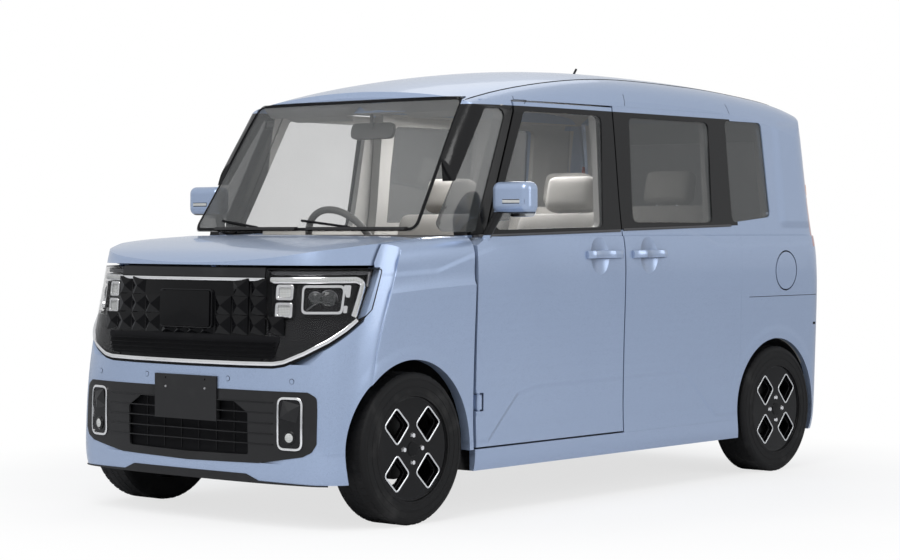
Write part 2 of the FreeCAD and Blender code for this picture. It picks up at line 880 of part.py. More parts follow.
def fuel_slot():
    """The slot in the body wall round the lid's hinge neck, behind the outer skin."""
    reach = s.fuel_eye_radius + s.fuel_slot_gap
    half = s.fuel_neck_tall / 2 + s.fuel_slot_gap
    return block(
        fuel_pin_x - s.fuel_neck_depth - 2 * s.fuel_slot_gap, fuel_pin_x + reach,
        fuel_pin_y - reach, s.fuel_lid_y - s.fuel_lid_radius / 2,
        s.fuel_lid_z - half, s.fuel_lid_z + half,
    )


def fuel_neck():
    """The bent neck between the lid and the eye on its pin."""
    half = s.fuel_neck_tall / 2
    low = s.fuel_lid_z - half
    high = s.fuel_lid_z + half
    deep = fuel_pin_x - s.fuel_neck_depth
    side = s.fuel_neck_wall / 2
    far_y = fuel_pin_y + s.fuel_neck_reach
    inward = block(deep, fuel_pin_x, fuel_pin_y - side, fuel_pin_y + side, low, high)
    across = block(deep, deep + s.fuel_neck_wall, fuel_pin_y - side, far_y, low, high)
    outward = block(deep, half_width - s.fuel_lid_thick / 2, far_y - s.fuel_neck_wall, far_y,
                    low, high)
    return fuel_pin(s.fuel_eye_radius, s.fuel_neck_tall).fuse([inward, across, outward])


def hood_hinge_rod(radius, wide):
    """A round bar on the left hood hinge."""
    return rod(radius, Vector(s.hood_hinge_x - wide / 2, s.hood_hinge_y, s.hood_hinge_z),
               Vector(s.hood_hinge_x + wide / 2, s.hood_hinge_y, s.hood_hinge_z))


def body_shell():
    """The fixed body wall: pillars, rails, sills, wheel houses and rear quarters."""
    cutters = [
        front_door_blank, mirrored(front_door_blank),
        slide_door_blank, mirrored(slide_door_blank),
        screen_prism(0), tailgate_prism(0), roof_prism(),
        tail_lamp_prism(), mirrored(tail_lamp_prism()), arches,
        fuel_lid_disc(s.fuel_lid_radius + s.shut_gap, s.fuel_pocket_depth), fuel_slot(),
    ]
    for outline in (quarter_window_outline, quarter_light_outline):
        hole = window_prism(outline, 0)
        cutters += [hole, mirrored(hole)]
    post = door_hinge_post(s.door_hinge_relief)
    cutters += [post, mirrored(post)]
    cutters.append(gate_hinge_rod(s.gate_relief_radius, -half_width, half_width))
    walls = carved(body_wall, cutters)
    frame = carved(inner_frame(), [roof_prism(), tailgate_prism(0), screen_prism(0), arches])
    house = wheel_house(s.rear_arch_radius, rear_axle_y, s.rear_arch_inner_x)
    low_edge = s.boot_floor_z - s.floor_thick
    houses = [house.common(block(0, far, -far, far, low_edge, far))]
    houses.append(mirrored(houses[0]))
    arms = door_hinge_arms()
    arms += [mirrored(arm) for arm in arms]
    headers = [
        header(s.front_header_y, s.front_header_z, s.front_header_half),
        header(s.rear_header_y, s.rear_header_z, s.rear_header_half),
    ]
    return biggest(walls.fuse(
        [frame, fuel_pin(s.fuel_pin_radius, s.fuel_pin_long)] + headers + houses + arms
    ))


def inner_frame():
    """The posts inside the doors and the roof rails above them."""
    low_core = lower_form(s.side_wall + s.shut_gap + s.post_wall)
    low = lower_form(s.side_wall + s.shut_gap).cut(low_core)
    sill = low_outer.cut(low_core).common(
        block(-far, far, s.cowl_y, rear_axle_y, s.floor_clearance, s.sill_top_z)
    )
    high = upper_form(s.pillar_wall + s.shut_gap).cut(
        upper_form(s.pillar_wall + s.shut_gap + s.post_wall)
    )
    bands = [sill]
    for middle in (s.cowl_y + s.post_width / 2, s.door_split_y):
        front = middle - s.post_width / 2
        rear = middle + s.post_width / 2
        bands.append(low.common(
            block(-far, far, front, rear, s.floor_clearance, s.belt_join_z)
        ))
        if front > s.cowl_y:
            bands.append(high.common(
                block(-far, far, front, rear, s.belt_join_z, s.header_front_z)
            ))
    rail = glass_outer.cut(upper_form(s.rail_wall)).common(
        block(-far, far, s.front_window_front_y, s.roof_rear_y, s.header_front_z, far)
    )
    return bands[0].fuse(bands[1:] + [rail])


def header(y, low_z, half):
    """A cross member under the roof panel that joins the two roof rails."""
    return block(-half, half, y - s.header_width / 2, y + s.header_width / 2,
                 low_z, low_z + s.header_tall)


def wheel_house(radius, y, inner_x):
    """The left half-round house over a wheel, closed on its inner side."""
    outside = axle_cylinder(radius + s.arch_lining, y, inner_x - s.arch_lining,
                            half_width - s.panel_wall)
    house = outside.cut(axle_cylinder(radius, y, inner_x, far))
    return house


def roof_panel():
    """The roof skin between the rails."""
    relief = gate_hinge_rod(s.gate_relief_radius, -half_width, half_width)
    return biggest(glass_wall.common(roof_prism()).cut(relief).fuse(gate_hinge_arms()))


def floor_pan():
    """Floor, firewall, front rails, strut towers and wheel houses."""
    low = s.floor_top_z - s.floor_thick
    boot_low = s.boot_floor_z - s.floor_thick
    plates = low_inner.common(Part.makeCompound([
        block(-far, far, s.cowl_y, s.boot_floor_y, low, s.floor_top_z),
    ]))
    riser = low_inner.common(block(
        -far, far, s.boot_floor_y, s.boot_floor_y + s.floor_thick, low, s.boot_floor_z,
    ))
    boot = low_inner.common(block(
        -far, far, s.boot_floor_y, s.rear_bumper_front_y, boot_low, s.boot_floor_z,
    ))
    wall = low_inner.common(block(
        -far, far, s.cowl_y, s.cowl_y + s.floor_thick, s.floor_top_z, s.belt_join_z,
    ))
    rail_z = s.subframe_z + s.subframe_tall
    rail = block(
        s.subframe_half - s.rail_width, s.subframe_half, -half_length + s.nose_depth / 2,
        s.cowl_y, rail_z, rail_z + s.rail_tall,
    )
    house = wheel_house(s.front_arch_radius, s.front_axle_y, s.arch_inner_x)
    house = house.common(block(0, far, -far, s.cowl_y, s.floor_top_z, far))
    house = house.fuse(strut_tower()).cut(strut_line(
        s.tower_radius - s.tower_wall, s.ball_joint_z, s.strut_top_z - s.tower_cap
    ))
    house = house.cut(strut_line(
        s.strut_radius + s.seat_gap, s.ball_joint_z, s.strut_top_z + s.tower_cap
    )).common(front_inner)
    sides = [rail, house]
    sides += [mirrored(piece) for piece in sides]
    pan = plates.fuse([riser, boot, wall, cowl_tray()] + sides)
    return biggest(pan.cut([arches, shell]))


def strut_line(radius, low_z, high_z):
    """A round bar along the left strut's line, between two heights."""
    ball = Vector(s.ball_joint_x, s.front_axle_y, s.ball_joint_z)
    top = Vector(s.strut_top_x, s.front_axle_y, s.strut_top_z)
    slope = (top - ball) * (1 / (s.strut_top_z - s.ball_joint_z))
    return rod(radius, ball + slope * (low_z - s.ball_joint_z),
               ball + slope * (high_z - s.ball_joint_z))


def strut_tower():
    """The left strut tower above the wheel house."""
    return strut_line(s.tower_radius, s.tower_base_z, s.strut_top_z)


def cowl_tray():
    """The tray below the windscreen, behind the hood."""
    top = crown_form(HOOD_ACROSS_SHARES, HOOD_ALONG_SHARES, s.cowl_drop, s.floor_clearance / 2)
    tray = top.common(block(
        -s.fender_inner_x, s.fender_inner_x, s.hood_rear_y - s.overrun,
        s.cowl_y + s.floor_thick, s.belt_join_z - s.cowl_deep, s.belt_join_z,
    ))
    tray = tray.cut(plan_prism(hood_outline(0), 0, far))
    notch_half = s.hood_arm_wide / 2 + s.shut_gap
    notch = block(
        s.hood_hinge_x - notch_half, s.hood_hinge_x + notch_half, -far,
        s.hood_hinge_y + s.hood_hinge_eye + s.shut_gap,
        s.hood_hinge_z - s.hood_hinge_eye - s.shut_gap, far,
    )
    pin = hood_hinge_rod(s.hood_hinge_pin, 2 * notch_half + s.hood_arm_wide)
    return tray.cut([notch, mirrored(notch)]).fuse([pin, mirrored(pin)])


def lamp_side_limit():
    """The region ahead of the lamp's outer edge, seen from the side."""
    return side_prism([
        (s.lamp_top_rear_y, s.hood_front_z),
        (s.lamp_mid_rear_y, s.lamp_mid_z),
        (s.lamp_low_rear_y, s.lamp_low_z),
        (s.lamp_low_rear_y - s.nose_lean / 2, s.grille_bottom_z),
        (-far, s.grille_bottom_z),
        (-far, s.hood_front_z),
    ], 0, far)


def headlamp():
    """The left headlamp, wrapped round the corner."""
    limit = block(s.grille_half_width, far, -far, s.face_rear_y, s.grille_bottom_z,
                  s.hood_front_z)
    return biggest(front_band.common(lamp_side_limit()).common(limit))


def grille():
    """The upper grille between the lamps."""
    limit = block(-s.grille_half_width, s.grille_half_width, -far, -half_length + s.nose_depth,
                  s.grille_bottom_z, s.hood_front_z)
    return biggest(front_band.common(limit))


def hood_outline(gap):
    """Plan outline of the hood, as (x, y) points."""
    rear = s.hood_rear_y
    corner = rear + s.hood_rear_sweep
    half = s.hood_half_width - gap
    return [
        (-half, -far), (half, -far), (half, corner - gap),
        (s.screen_base_half - gap, corner - gap), (half_width / 2, rear - gap),
        (-half_width / 2, rear - gap), (-s.screen_base_half + gap, corner - gap),
        (-half, corner - gap),
    ]


def hood():
    """The hood panel, above the grille and lamps."""
    prism = plan_prism(hood_outline(s.shut_gap), s.hood_front_z + s.shut_gap, far)
    arm = block(
        s.hood_hinge_x - s.hood_arm_wide / 2, s.hood_hinge_x + s.hood_arm_wide / 2,
        s.hood_hinge_y - s.hood_arm_long, s.hood_hinge_y,
        s.hood_hinge_z - s.hood_hinge_eye, s.hood_hinge_z + s.hood_hinge_pin,
    )
    arm = arm.fuse(hood_hinge_rod(s.hood_hinge_eye, s.hood_arm_wide))
    arm = arm.cut(hood_hinge_rod(s.hood_hinge_pin + s.seat_gap, s.hood_arm_wide * 2))
    return biggest(front_band.common(prism).fuse([arm, mirrored(arm)]))


def fender():
    """The left front fender, from the lamp to the door."""
    region = side_prism([
        (s.cowl_y, s.sill_top_z),
        (s.cowl_y, s.belt_join_z),
        (s.lamp_top_rear_y - s.fender_nose, s.belt_join_z),
        (s.lamp_top_rear_y - s.fender_nose, s.hood_front_z),
        (s.lamp_top_rear_y, s.hood_front_z),
        (s.lamp_mid_rear_y, s.lamp_mid_z),
        (s.bumper_rear_y, s.lamp_low_z),
        (s.bumper_rear_y, s.sill_top_z),
    ], s.fender_inner_x, side_out)
    panel = front_band.common(region)
    cut = plan_prism(hood_outline(0), s.hood_front_z, far)
    panel = panel.cut([cut, front_arch, glass_outer, door_hinge_post(s.door_hinge_relief)])
    return biggest(panel)


def front_bumper():
    """The bumper and lower face, with its intake hollow."""
    limit = block(-far, far, -far, s.bumper_rear_y, s.floor_clearance, s.hood_front_z)
    face = front_band.common(limit)
    side = side_prism([
        (s.lamp_top_rear_y, s.hood_front_z), (s.lamp_mid_rear_y, s.lamp_mid_z),
        (s.bumper_rear_y, s.lamp_low_z), (s.bumper_rear_y, 0), (0, 0), (0, s.hood_front_z),
    ], side_in, side_out)
    lamp_zone = lamp_side_limit().common(
        block(s.grille_half_width, far, -far, s.face_rear_y, s.grille_bottom_z, s.hood_front_z)
    )
    grille_zone = block(-s.grille_half_width, s.grille_half_width, -far, 0,
                        s.grille_bottom_z, s.hood_front_z)
    intake = block(-s.intake_half_width, s.intake_half_width, -far,
                   -half_length + s.intake_depth, s.intake_bottom_z, s.intake_top_z)
    face = face.cut([side, mirrored(side), lamp_zone, mirrored(lamp_zone), grille_zone,
                     intake, arches, front_plate_block(s.seat_gap)])
    return biggest(face)


def front_plate_block(grow):
    """The number plate's block, or the pocket that it sits in."""
    return block(
        -s.plate_half_width - grow, s.plate_half_width + grow, -half_length,
        -half_length + s.plate_deep + grow, s.plate_bottom_z - grow, s.plate_top_z + grow,
    )


def front_plate():
    """The blank number plate with its two bolt holes."""
    plate = front_plate_block(0)
    for x in (-s.plate_hole_x, s.plate_hole_x):
        base = Vector(x, -half_length, s.plate_top_z - s.plate_hole_drop)
        plate = plate.cut(Part.makeCylinder(s.plate_hole_radius, s.plate_deep, base, ALONG))
    return biggest(plate)


def tailgate():
    """The tailgate with its window opening."""
    gate = body_wall.common(tailgate_prism(s.shut_gap))
    behind = block(-far, far, s.gate_hinge_y, far, 0, far)
    below = block(-far, far, 0, far, 0, s.gate_hinge_z - 2 * s.gate_nose_radius)
    nose = gate_hinge_rod(s.gate_nose_radius, -half_width, half_width)
    gate = biggest(gate.common(behind.fuse([below, nose])))
    gate = gate.cut([tail_window_prism(0)] + gate_hinge_slots())
    return biggest(gate.fuse(gate_hinge_pins()))


def tailgate_glass():
    """The tailgate's window."""
    return biggest(glass_skin.common(tail_window_prism(-s.seat_gap)))


def tyre(x, y):
    """A tyre with rounded shoulders, revolved about its axle."""
    half = s.tyre_width / 2
    bead = s.rim_radius - s.rim_lip
    shoulder = s.tyre_radius - s.tyre_shoulder
    edge = half - s.tyre_shoulder
    cheek = s.tyre_shoulder * math.cos(math.radians(45))
    outer = [
        Part.LineSegment(Vector(-half, 0, bead), Vector(-half, 0, shoulder)).toShape(),
        Part.Arc(Vector(-half, 0, shoulder), Vector(-edge - cheek, 0, shoulder + cheek),
                 Vector(-edge, 0, s.tyre_radius)).toShape(),
        Part.LineSegment(Vector(-edge, 0, s.tyre_radius), Vector(edge, 0, s.tyre_radius)).toShape(),
        Part.Arc(Vector(edge, 0, s.tyre_radius), Vector(edge + cheek, 0, shoulder + cheek),
                 Vector(half, 0, shoulder)).toShape(),
        Part.LineSegment(Vector(half, 0, shoulder), Vector(half, 0, bead)).toShape(),
        Part.LineSegment(Vector(half, 0, bead), Vector(-half, 0, bead)).toShape(),
    ]
    ring = Part.Face(Part.Wire(outer)).revolve(Vector(0, 0, 0), ACROSS, 360)
    ring.translate(Vector(x, y, s.axle_height))
    return ring


def rim(x, y, sign):
    """An alloy wheel: barrel, hub and four spokes; its face points outwards."""
    half = s.rim_width / 2
    seat = s.rim_radius - s.rim_lip - s.seat_gap
    barrel = Part.makeCylinder(seat, s.rim_width, Vector(-half, 0, 0), ACROSS)
    bore = Part.makeCylinder(seat - s.rim_wall, s.rim_width + s.overrun,
                             Vector(-half - s.overrun / 2, 0, 0), ACROSS)
    wheel = barrel.cut(bore)
    face_x = half - s.rim_face_depth
    hub = Part.makeCylinder(s.hub_radius * 2, s.rim_face_depth, Vector(face_x, 0, 0), ACROSS)
    parts = [hub]
    for turn in range(4):
        angle = math.radians(45 + 90 * turn)
        spoke = Part.makeBox(s.spoke_thick, s.spoke_width, seat,
                             Vector(face_x, -s.spoke_width / 2, 0))
        spoke.rotate(Vector(0, 0, 0), ACROSS, math.degrees(angle))
        parts.append(spoke)
    limit = Part.makeCylinder(seat, s.rim_width * 2, Vector(-s.rim_width, 0, 0), ACROSS)
    wheel = wheel.fuse([part.common(limit) for part in parts])
    if sign < 0:
        wheel = mirrored(wheel)
    wheel.translate(Vector(x, y, s.axle_height))
    return biggest(wheel)


def knuckle():
    """The left upright with its strut, hub and brake disc."""
    ball = Vector(s.ball_joint_x, s.front_axle_y, s.ball_joint_z)
    top = Vector(s.strut_top_x, s.front_axle_y, s.strut_top_z)
    strut = rod(s.strut_radius, ball, top)
    spring = strut_line(s.spring_radius, s.spring_low_z, s.spring_high_z)
    inner_x = s.track_half + s.disc_offset - s.disc_thick
    upright = block(
        inner_x - s.upright_width, inner_x, s.front_axle_y - s.upright_width,
        s.front_axle_y + s.upright_width, s.ball_joint_z + s.arm_thick + 2 * s.shut_gap,
        s.axle_height + s.disc_radius / 2,
    )
    disc = axle_cylinder(s.disc_radius, s.front_axle_y, inner_x, inner_x + s.disc_thick)
    hub = axle_cylinder(s.hub_radius, s.front_axle_y, inner_x, hub_face_x)
    return biggest(strut.fuse([upright, disc, hub, spring]))


hub_face_x = s.track_half + s.rim_width / 2 - s.rim_face_depth - s.seat_gap


def front_subframe():
    """The cross member with its two lower arms."""
    y0 = s.front_axle_y - s.subframe_length / 2
    y1 = s.front_axle_y + s.subframe_length / 2
    z0 = s.subframe_z
    frame = block(-s.subframe_half, s.subframe_half, y0, y1, z0, z0 + s.subframe_tall)
    arm = block(
        s.subframe_half, s.ball_joint_x, s.front_axle_y - s.arm_width / 2,
        s.front_axle_y + s.arm_width / 2, z0, z0 + s.arm_thick,
    )
    arm = arm.cut(strut_line(s.strut_radius + s.seat_gap, 0, s.strut_top_z))
    return biggest(frame.fuse([arm, mirrored(arm)]))


def rear_axle():
    """The beam axle with trailing arms, stub axles and dampers."""
    end = s.rear_arch_inner_x + s.trail_arm_width
    arm_x = end - s.trail_arm_width / 2
    pivot_y = rear_axle_y - s.trail_arm_length
    beam_y = rear_axle_y - s.trail_arm_length / 2
    beam_z = (s.axle_height + s.trail_pivot_z) / 2 + s.beam_radius
    beam = rod(s.beam_radius, Vector(-arm_x, beam_y, beam_z), Vector(arm_x, beam_y, beam_z))
    arm = rod(s.trail_arm_radius, Vector(arm_x, pivot_y, s.trail_pivot_z),
              Vector(arm_x, rear_axle_y, s.axle_height))
    bracket = block(
        arm_x - s.trail_bracket / 2, arm_x + s.trail_bracket / 2,
        pivot_y - s.trail_bracket, pivot_y, s.trail_pivot_z - s.trail_arm_radius,
        s.floor_top_z - s.floor_thick,
    )
    stub = axle_cylinder(s.hub_radius, rear_axle_y, arm_x, hub_face_x)
    drum = axle_cylinder(s.disc_radius, rear_axle_y, end + s.arm_thick,
                         s.track_half + s.arm_thick)
    damper = rod(
        s.damper_radius, Vector(arm_x, rear_axle_y, s.axle_height),
        Vector(arm_x, rear_axle_y, s.axle_height + s.rear_arch_radius - s.seat_gap),
    )
    damper = damper.common(axle_cylinder(
        s.rear_arch_radius - s.seat_gap, rear_axle_y, 0, far
    ))
    parts = [arm, bracket, stub, drum, damper]
    return biggest(beam.fuse(parts + [mirrored(part) for part in parts]))


def engine():
    """The engine and gearbox as one plain block."""
    half = s.engine_width / 2
    low = s.subframe_z + s.subframe_tall + s.seat_gap
    return block(-half, half, s.engine_y - s.engine_length / 2, s.engine_y + s.engine_length / 2,
                 low, low + s.engine_tall)


def fuel_tank():
    """The flat tank under the floor."""
    half = s.tank_width / 2
    top = s.floor_top_z - s.floor_thick
    tank = block(s.tank_x - half, s.tank_x + half, s.tank_y - s.tank_length / 2,
                 s.tank_y + s.tank_length / 2, top - s.tank_tall, top)
    return tank.makeFillet(s.tank_tall / 5, [e for e in tank.Edges if e.BoundBox.ZMax < top])


def exhaust():
    """The exhaust pipe and its rear silencer."""
    z = s.floor_top_z - s.floor_thick - s.exhaust_radius
    muffler_front = s.muffler_y - s.muffler_length / 2
    muffler_low = z - s.exhaust_radius
    pipe = rod(s.exhaust_radius, Vector(s.exhaust_x, s.cowl_y, z),
               Vector(s.exhaust_x, muffler_front + s.overrun, z))
    box = block(
        s.exhaust_x - s.exhaust_radius * 2, s.exhaust_x - s.exhaust_radius * 2 + s.muffler_width,
        muffler_front, muffler_front + s.muffler_length, muffler_low,
        muffler_low + s.muffler_tall,
    )
    box = box.makeFillet(s.muffler_tall / 4, box.Edges)
    hanger = rod(s.hanger_radius, Vector(s.exhaust_x, s.muffler_y, z),
                 Vector(s.exhaust_x, s.muffler_y, s.boot_floor_z - s.floor_thick))
    return biggest(pipe.fuse([box, hanger]))


def seat(x, y, width, low):
    """One seat's closed solid: cushion, back and head rest on a base."""
    half = width / 2
    cushion = block(x - half, x + half, y - s.seat_depth, y, low, low + s.seat_cushion_tall)
    back = block(x - half, x + half, y - s.seat_back_thick, y, low,
                 low + s.seat_cushion_tall + s.seat_back_tall)
    back.rotate(Vector(x, y, low), ACROSS, -s.seat_recline)
    base = block(x - s.seat_base_half, x + s.seat_base_half, y - s.seat_depth + s.overrun,
                 y - s.seat_depth / 2, s.floor_top_z + s.seat_gap, low)
    rest = block(x - s.head_rest_width / 2, x + s.head_rest_width / 2,
                 y - s.head_rest_thick, y, low + s.seat_back_tall + s.seat_cushion_tall,
                 low + s.seat_back_tall + s.seat_cushion_tall + s.head_rest_tall)
    rest.rotate(Vector(x, y, low), ACROSS, -s.seat_recline)
    return biggest(cushion.fuse([back, base, rest]))


def dashboard():
    """The dashboard across the cabin."""
    slab = side_prism([
        (s.cowl_y + s.floor_thick, s.dash_bottom_z),
        (s.dash_rear_y - s.dash_lip, s.dash_bottom_z),
        (s.dash_rear_y, s.dash_top_z - s.dash_lip),
        (s.dash_rear_y - s.dash_lip / 2, s.dash_top_z),
        (s.cowl_y + s.floor_thick, s.dash_top_z),
    ], -far, far)
    column = steering_column(s.column_radius + s.seat_gap, s.column_length * 2)
    return biggest(slab.common(low_inner).cut([shell, floor, column]))


def steering_column(radius, length):
    """A round bar along the steering column, from the wheel's middle."""
    tilt = math.radians(s.steer_tilt)
    centre = Vector(s.steer_x, s.steer_y, s.steer_z)
    return rod(radius, centre, centre - Vector(0, math.cos(tilt), math.sin(tilt)) * length)


def steering_wheel():
    """The steering wheel with its column, on the right."""
    ring = Part.makeTorus(s.steer_radius, s.steer_grip)
    hub = Part.makeCylinder(s.steer_hub, s.steer_grip * 2, Vector(0, 0, -s.steer_grip))
    spoke = Part.makeBox(s.steer_radius * 2, s.steer_grip * 2, s.steer_grip,
                         Vector(-s.steer_radius, -s.steer_grip, -s.steer_grip / 2))
    wheel = ring.fuse([hub, spoke])
    wheel.rotate(Vector(0, 0, 0), ACROSS, s.steer_tilt - 90)
    wheel.translate(Vector(s.steer_x, s.steer_y, s.steer_z))
    return biggest(wheel.fuse(steering_column(s.column_radius, s.column_length)))


def wipers():
    """Two wiper arms and blades that lie at the foot of the windscreen."""
    band = upper_form(-s.wiper_proud).cut(upper_form(s.glass_inset - s.seat_gap))
    low = s.screen_base_z + s.wiper_lift
    wipers_made = []
    for start, pivot in ((s.wiper_left_x, s.wiper_left_x + s.wiper_length),
                         (s.wiper_right_x, s.wiper_right_x + s.wiper_length)):
        blade = biggest(band.common(block(
            start, start + s.wiper_length, -far, 0, low, low + s.wiper_tall
        )))
        post = rod(
            s.wiper_post_radius,
            Vector(pivot - s.wiper_length / 2, blade.BoundBox.YMin, s.belt_join_z - s.cowl_deep),
            Vector(pivot - s.wiper_length / 2, blade.BoundBox.YMin, low + s.wiper_tall),
        )
        wipers_made.append(biggest(blade.fuse(post.cut([floor, shell]))))
    return Part.makeCompound(wipers_made)


def antenna():
    """The short roof antenna on its foot."""
    high = s.roof_height + s.antenna_foot
    disc = Part.makeCylinder(s.antenna_foot, s.antenna_foot, Vector(0, s.antenna_y, high))
    z = high - disc.distToShape(roof_crown)[0] + s.seat_gap
    foot = Part.makeCone(s.antenna_foot, s.antenna_radius, s.antenna_foot,
                         Vector(0, s.antenna_y, z), UP)
    lean = math.radians(s.antenna_lean)
    tip = Vector(0, s.antenna_y + s.antenna_length * math.sin(lean),
                 z + s.antenna_length * math.cos(lean))
    mast = rod(s.antenna_radius, Vector(0, s.antenna_y, z + s.antenna_radius), tip)
    return biggest(foot.fuse(mast))


def rear_bumper():
    """The rear bumper with its rounded corners."""
    wall = low_outer.cut(low_panel_inner).common(rear_bumper_prism())
    room = rear_house_room()
    return biggest(wall.cut([arches, room, mirrored(room)]))


def tail_lamp():
    """The left tail lamp, wrapped round the rear corner."""
    return biggest(body_wall.common(tail_lamp_prism()))


def fuel_lid():
    """The round fuel lid, flush with the body side."""
    disc = fuel_lid_disc(s.fuel_lid_radius, s.fuel_lid_thick)
    lid = disc.common(low_outer).fuse(fuel_neck())
    bore = fuel_pin(s.fuel_pin_radius + s.seat_gap, s.fuel_pin_long)
    return biggest(lid.cut(bore))


shell = body_shell()
floor = floor_pan()
add("body_shell", shell)
add("roof_panel", roof_panel())
add("floor_pan", floor)
add("hood", hood())
add("front_bumper", front_bumper())
add("front_plate", front_plate())
add("grille", grille())
add("headlamps", both(headlamp()))
add("windscreen", biggest(glass_skin.common(screen_prism(-s.seat_gap))))
quarter_panes = [side_glass(quarter_window_outline), side_glass(quarter_light_outline)]
add("quarter_glass", Part.makeCompound(
    quarter_panes + [mirrored(pane) for pane in quarter_panes]
))
left_fender = fender()
left_door = front_door()
left_door_glass = side_glass(front_window_outline)
left_slide = slide_door()
left_slide_glass = side_glass(slide_window_outline)
left_knuckle = knuckle()
for side, sign in SIDES:
    add("fender_%s" % side, on_side(left_fender, sign))
    add("front_door_%s" % side, on_side(left_door, sign))
    add("front_door_glass_%s" % side, on_side(left_door_glass, sign))
    add("sliding_door_%s" % side, on_side(left_slide, sign))
    add("knuckle_%s" % side, on_side(left_knuckle, sign))
    for place, axle_y in (("front", s.front_axle_y), ("rear", rear_axle_y)):
        x = sign * s.track_half
        add("tyre_%s_%s" % (place, side), tyre(x, axle_y))
        add("rim_%s_%s" % (place, side), rim(x, axle_y, sign))
add("sliding_door_glass", both(left_slide_glass))
add("tailgate", tailgate())
add("tailgate_glass", tailgate_glass())
add("tail_lamps", both(tail_lamp()))
add("rear_bumper", rear_bumper())
add("fuel_lid", fuel_lid())
add("dashboard", dashboard())
add("steering_wheel", steering_wheel())
add("front_seats", both(seat(
    s.seat_x, s.front_seat_y + s.seat_depth / 2, s.seat_width, s.seat_low_z
)))
add("rear_bench", seat(
    0, s.rear_seat_y + s.seat_depth / 2, s.bench_width, s.boot_floor_z + s.seat_gap
))
add("engine", engine())
add("front_subframe", front_subframe())
add("rear_axle", rear_axle())
add("fuel_tank", fuel_tank())
add("exhaust", exhaust())
add("wipers", wipers())
add("antenna", antenna())

doc.recompute()
pieces = [piece for piece in doc.Objects if piece.TypeId != "Spreadsheet::Sheet"]
for piece in pieces:
    if "Invalid" in piece.State or "Error" in piece.State:
        raise RuntimeError("%s failed to compute" % piece.Label)
    if piece.Shape.isNull() or not piece.Shape.isValid():
        raise RuntimeError("%s has no valid shape" % piece.Label)

os.makedirs("parts", exist_ok=True)
for piece in pieces:
    piece.Shape.exportStep("parts/%s.step" % piece.Label)
    print(piece.Label, len(piece.Shape.Solids), round(piece.Shape.Volume))
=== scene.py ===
"""Looks of a tall kei car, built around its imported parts."""

import json
import logging
import math
from dataclasses import dataclass, field
from enum import Enum
from typing import Callable, Sequence

import bmesh
import bpy
from mathutils import Matrix, Vector
from mathutils.bvhtree import BVHTree

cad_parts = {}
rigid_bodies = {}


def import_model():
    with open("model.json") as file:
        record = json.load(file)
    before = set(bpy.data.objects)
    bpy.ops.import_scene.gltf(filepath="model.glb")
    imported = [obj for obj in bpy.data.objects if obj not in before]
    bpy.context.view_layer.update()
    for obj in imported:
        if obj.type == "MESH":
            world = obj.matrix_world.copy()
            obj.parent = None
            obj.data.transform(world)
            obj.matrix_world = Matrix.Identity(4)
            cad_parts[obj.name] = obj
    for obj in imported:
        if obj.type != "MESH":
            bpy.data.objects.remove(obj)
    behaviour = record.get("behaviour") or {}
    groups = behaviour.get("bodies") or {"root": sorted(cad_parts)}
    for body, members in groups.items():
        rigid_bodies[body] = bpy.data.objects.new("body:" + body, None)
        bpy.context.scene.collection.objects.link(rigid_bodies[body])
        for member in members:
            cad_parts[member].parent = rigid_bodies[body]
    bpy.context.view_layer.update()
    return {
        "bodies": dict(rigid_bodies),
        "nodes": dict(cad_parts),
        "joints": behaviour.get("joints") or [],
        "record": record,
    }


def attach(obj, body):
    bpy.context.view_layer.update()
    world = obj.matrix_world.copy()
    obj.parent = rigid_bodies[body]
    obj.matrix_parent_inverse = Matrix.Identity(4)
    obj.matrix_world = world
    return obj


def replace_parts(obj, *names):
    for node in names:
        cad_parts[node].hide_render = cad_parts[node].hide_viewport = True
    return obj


LOG = logging.getLogger("kei_car")
Colour = tuple[float, float, float]
Flat = tuple[float, float]
Spot = tuple[Vector, Vector]
Place = Callable[[float, float], Spot]
Plate = tuple[str, float, float, float, float, Flat, "Look", float]
FRONT_AXLE_Y, REAR_AXLE_Y, AXLE_Z = -1.240, 1.255, 0.281
CORE = 0.0001  # radius of a turned profile's ends, next to its axis
EIGHTH = math.pi / 4
DIAGONAL = 1.414  # from the half side of a square stud to its corner's radius
ACROSS, ALONG, UP = Vector((1.0, 0.0, 0.0)), Vector((0.0, 1.0, 0.0)), Vector((0.0, 0.0, 1.0))
FORWARD, DOWN = Vector((0.0, -1.0, 0.0)), Vector((0.0, 0.0, -1.0))


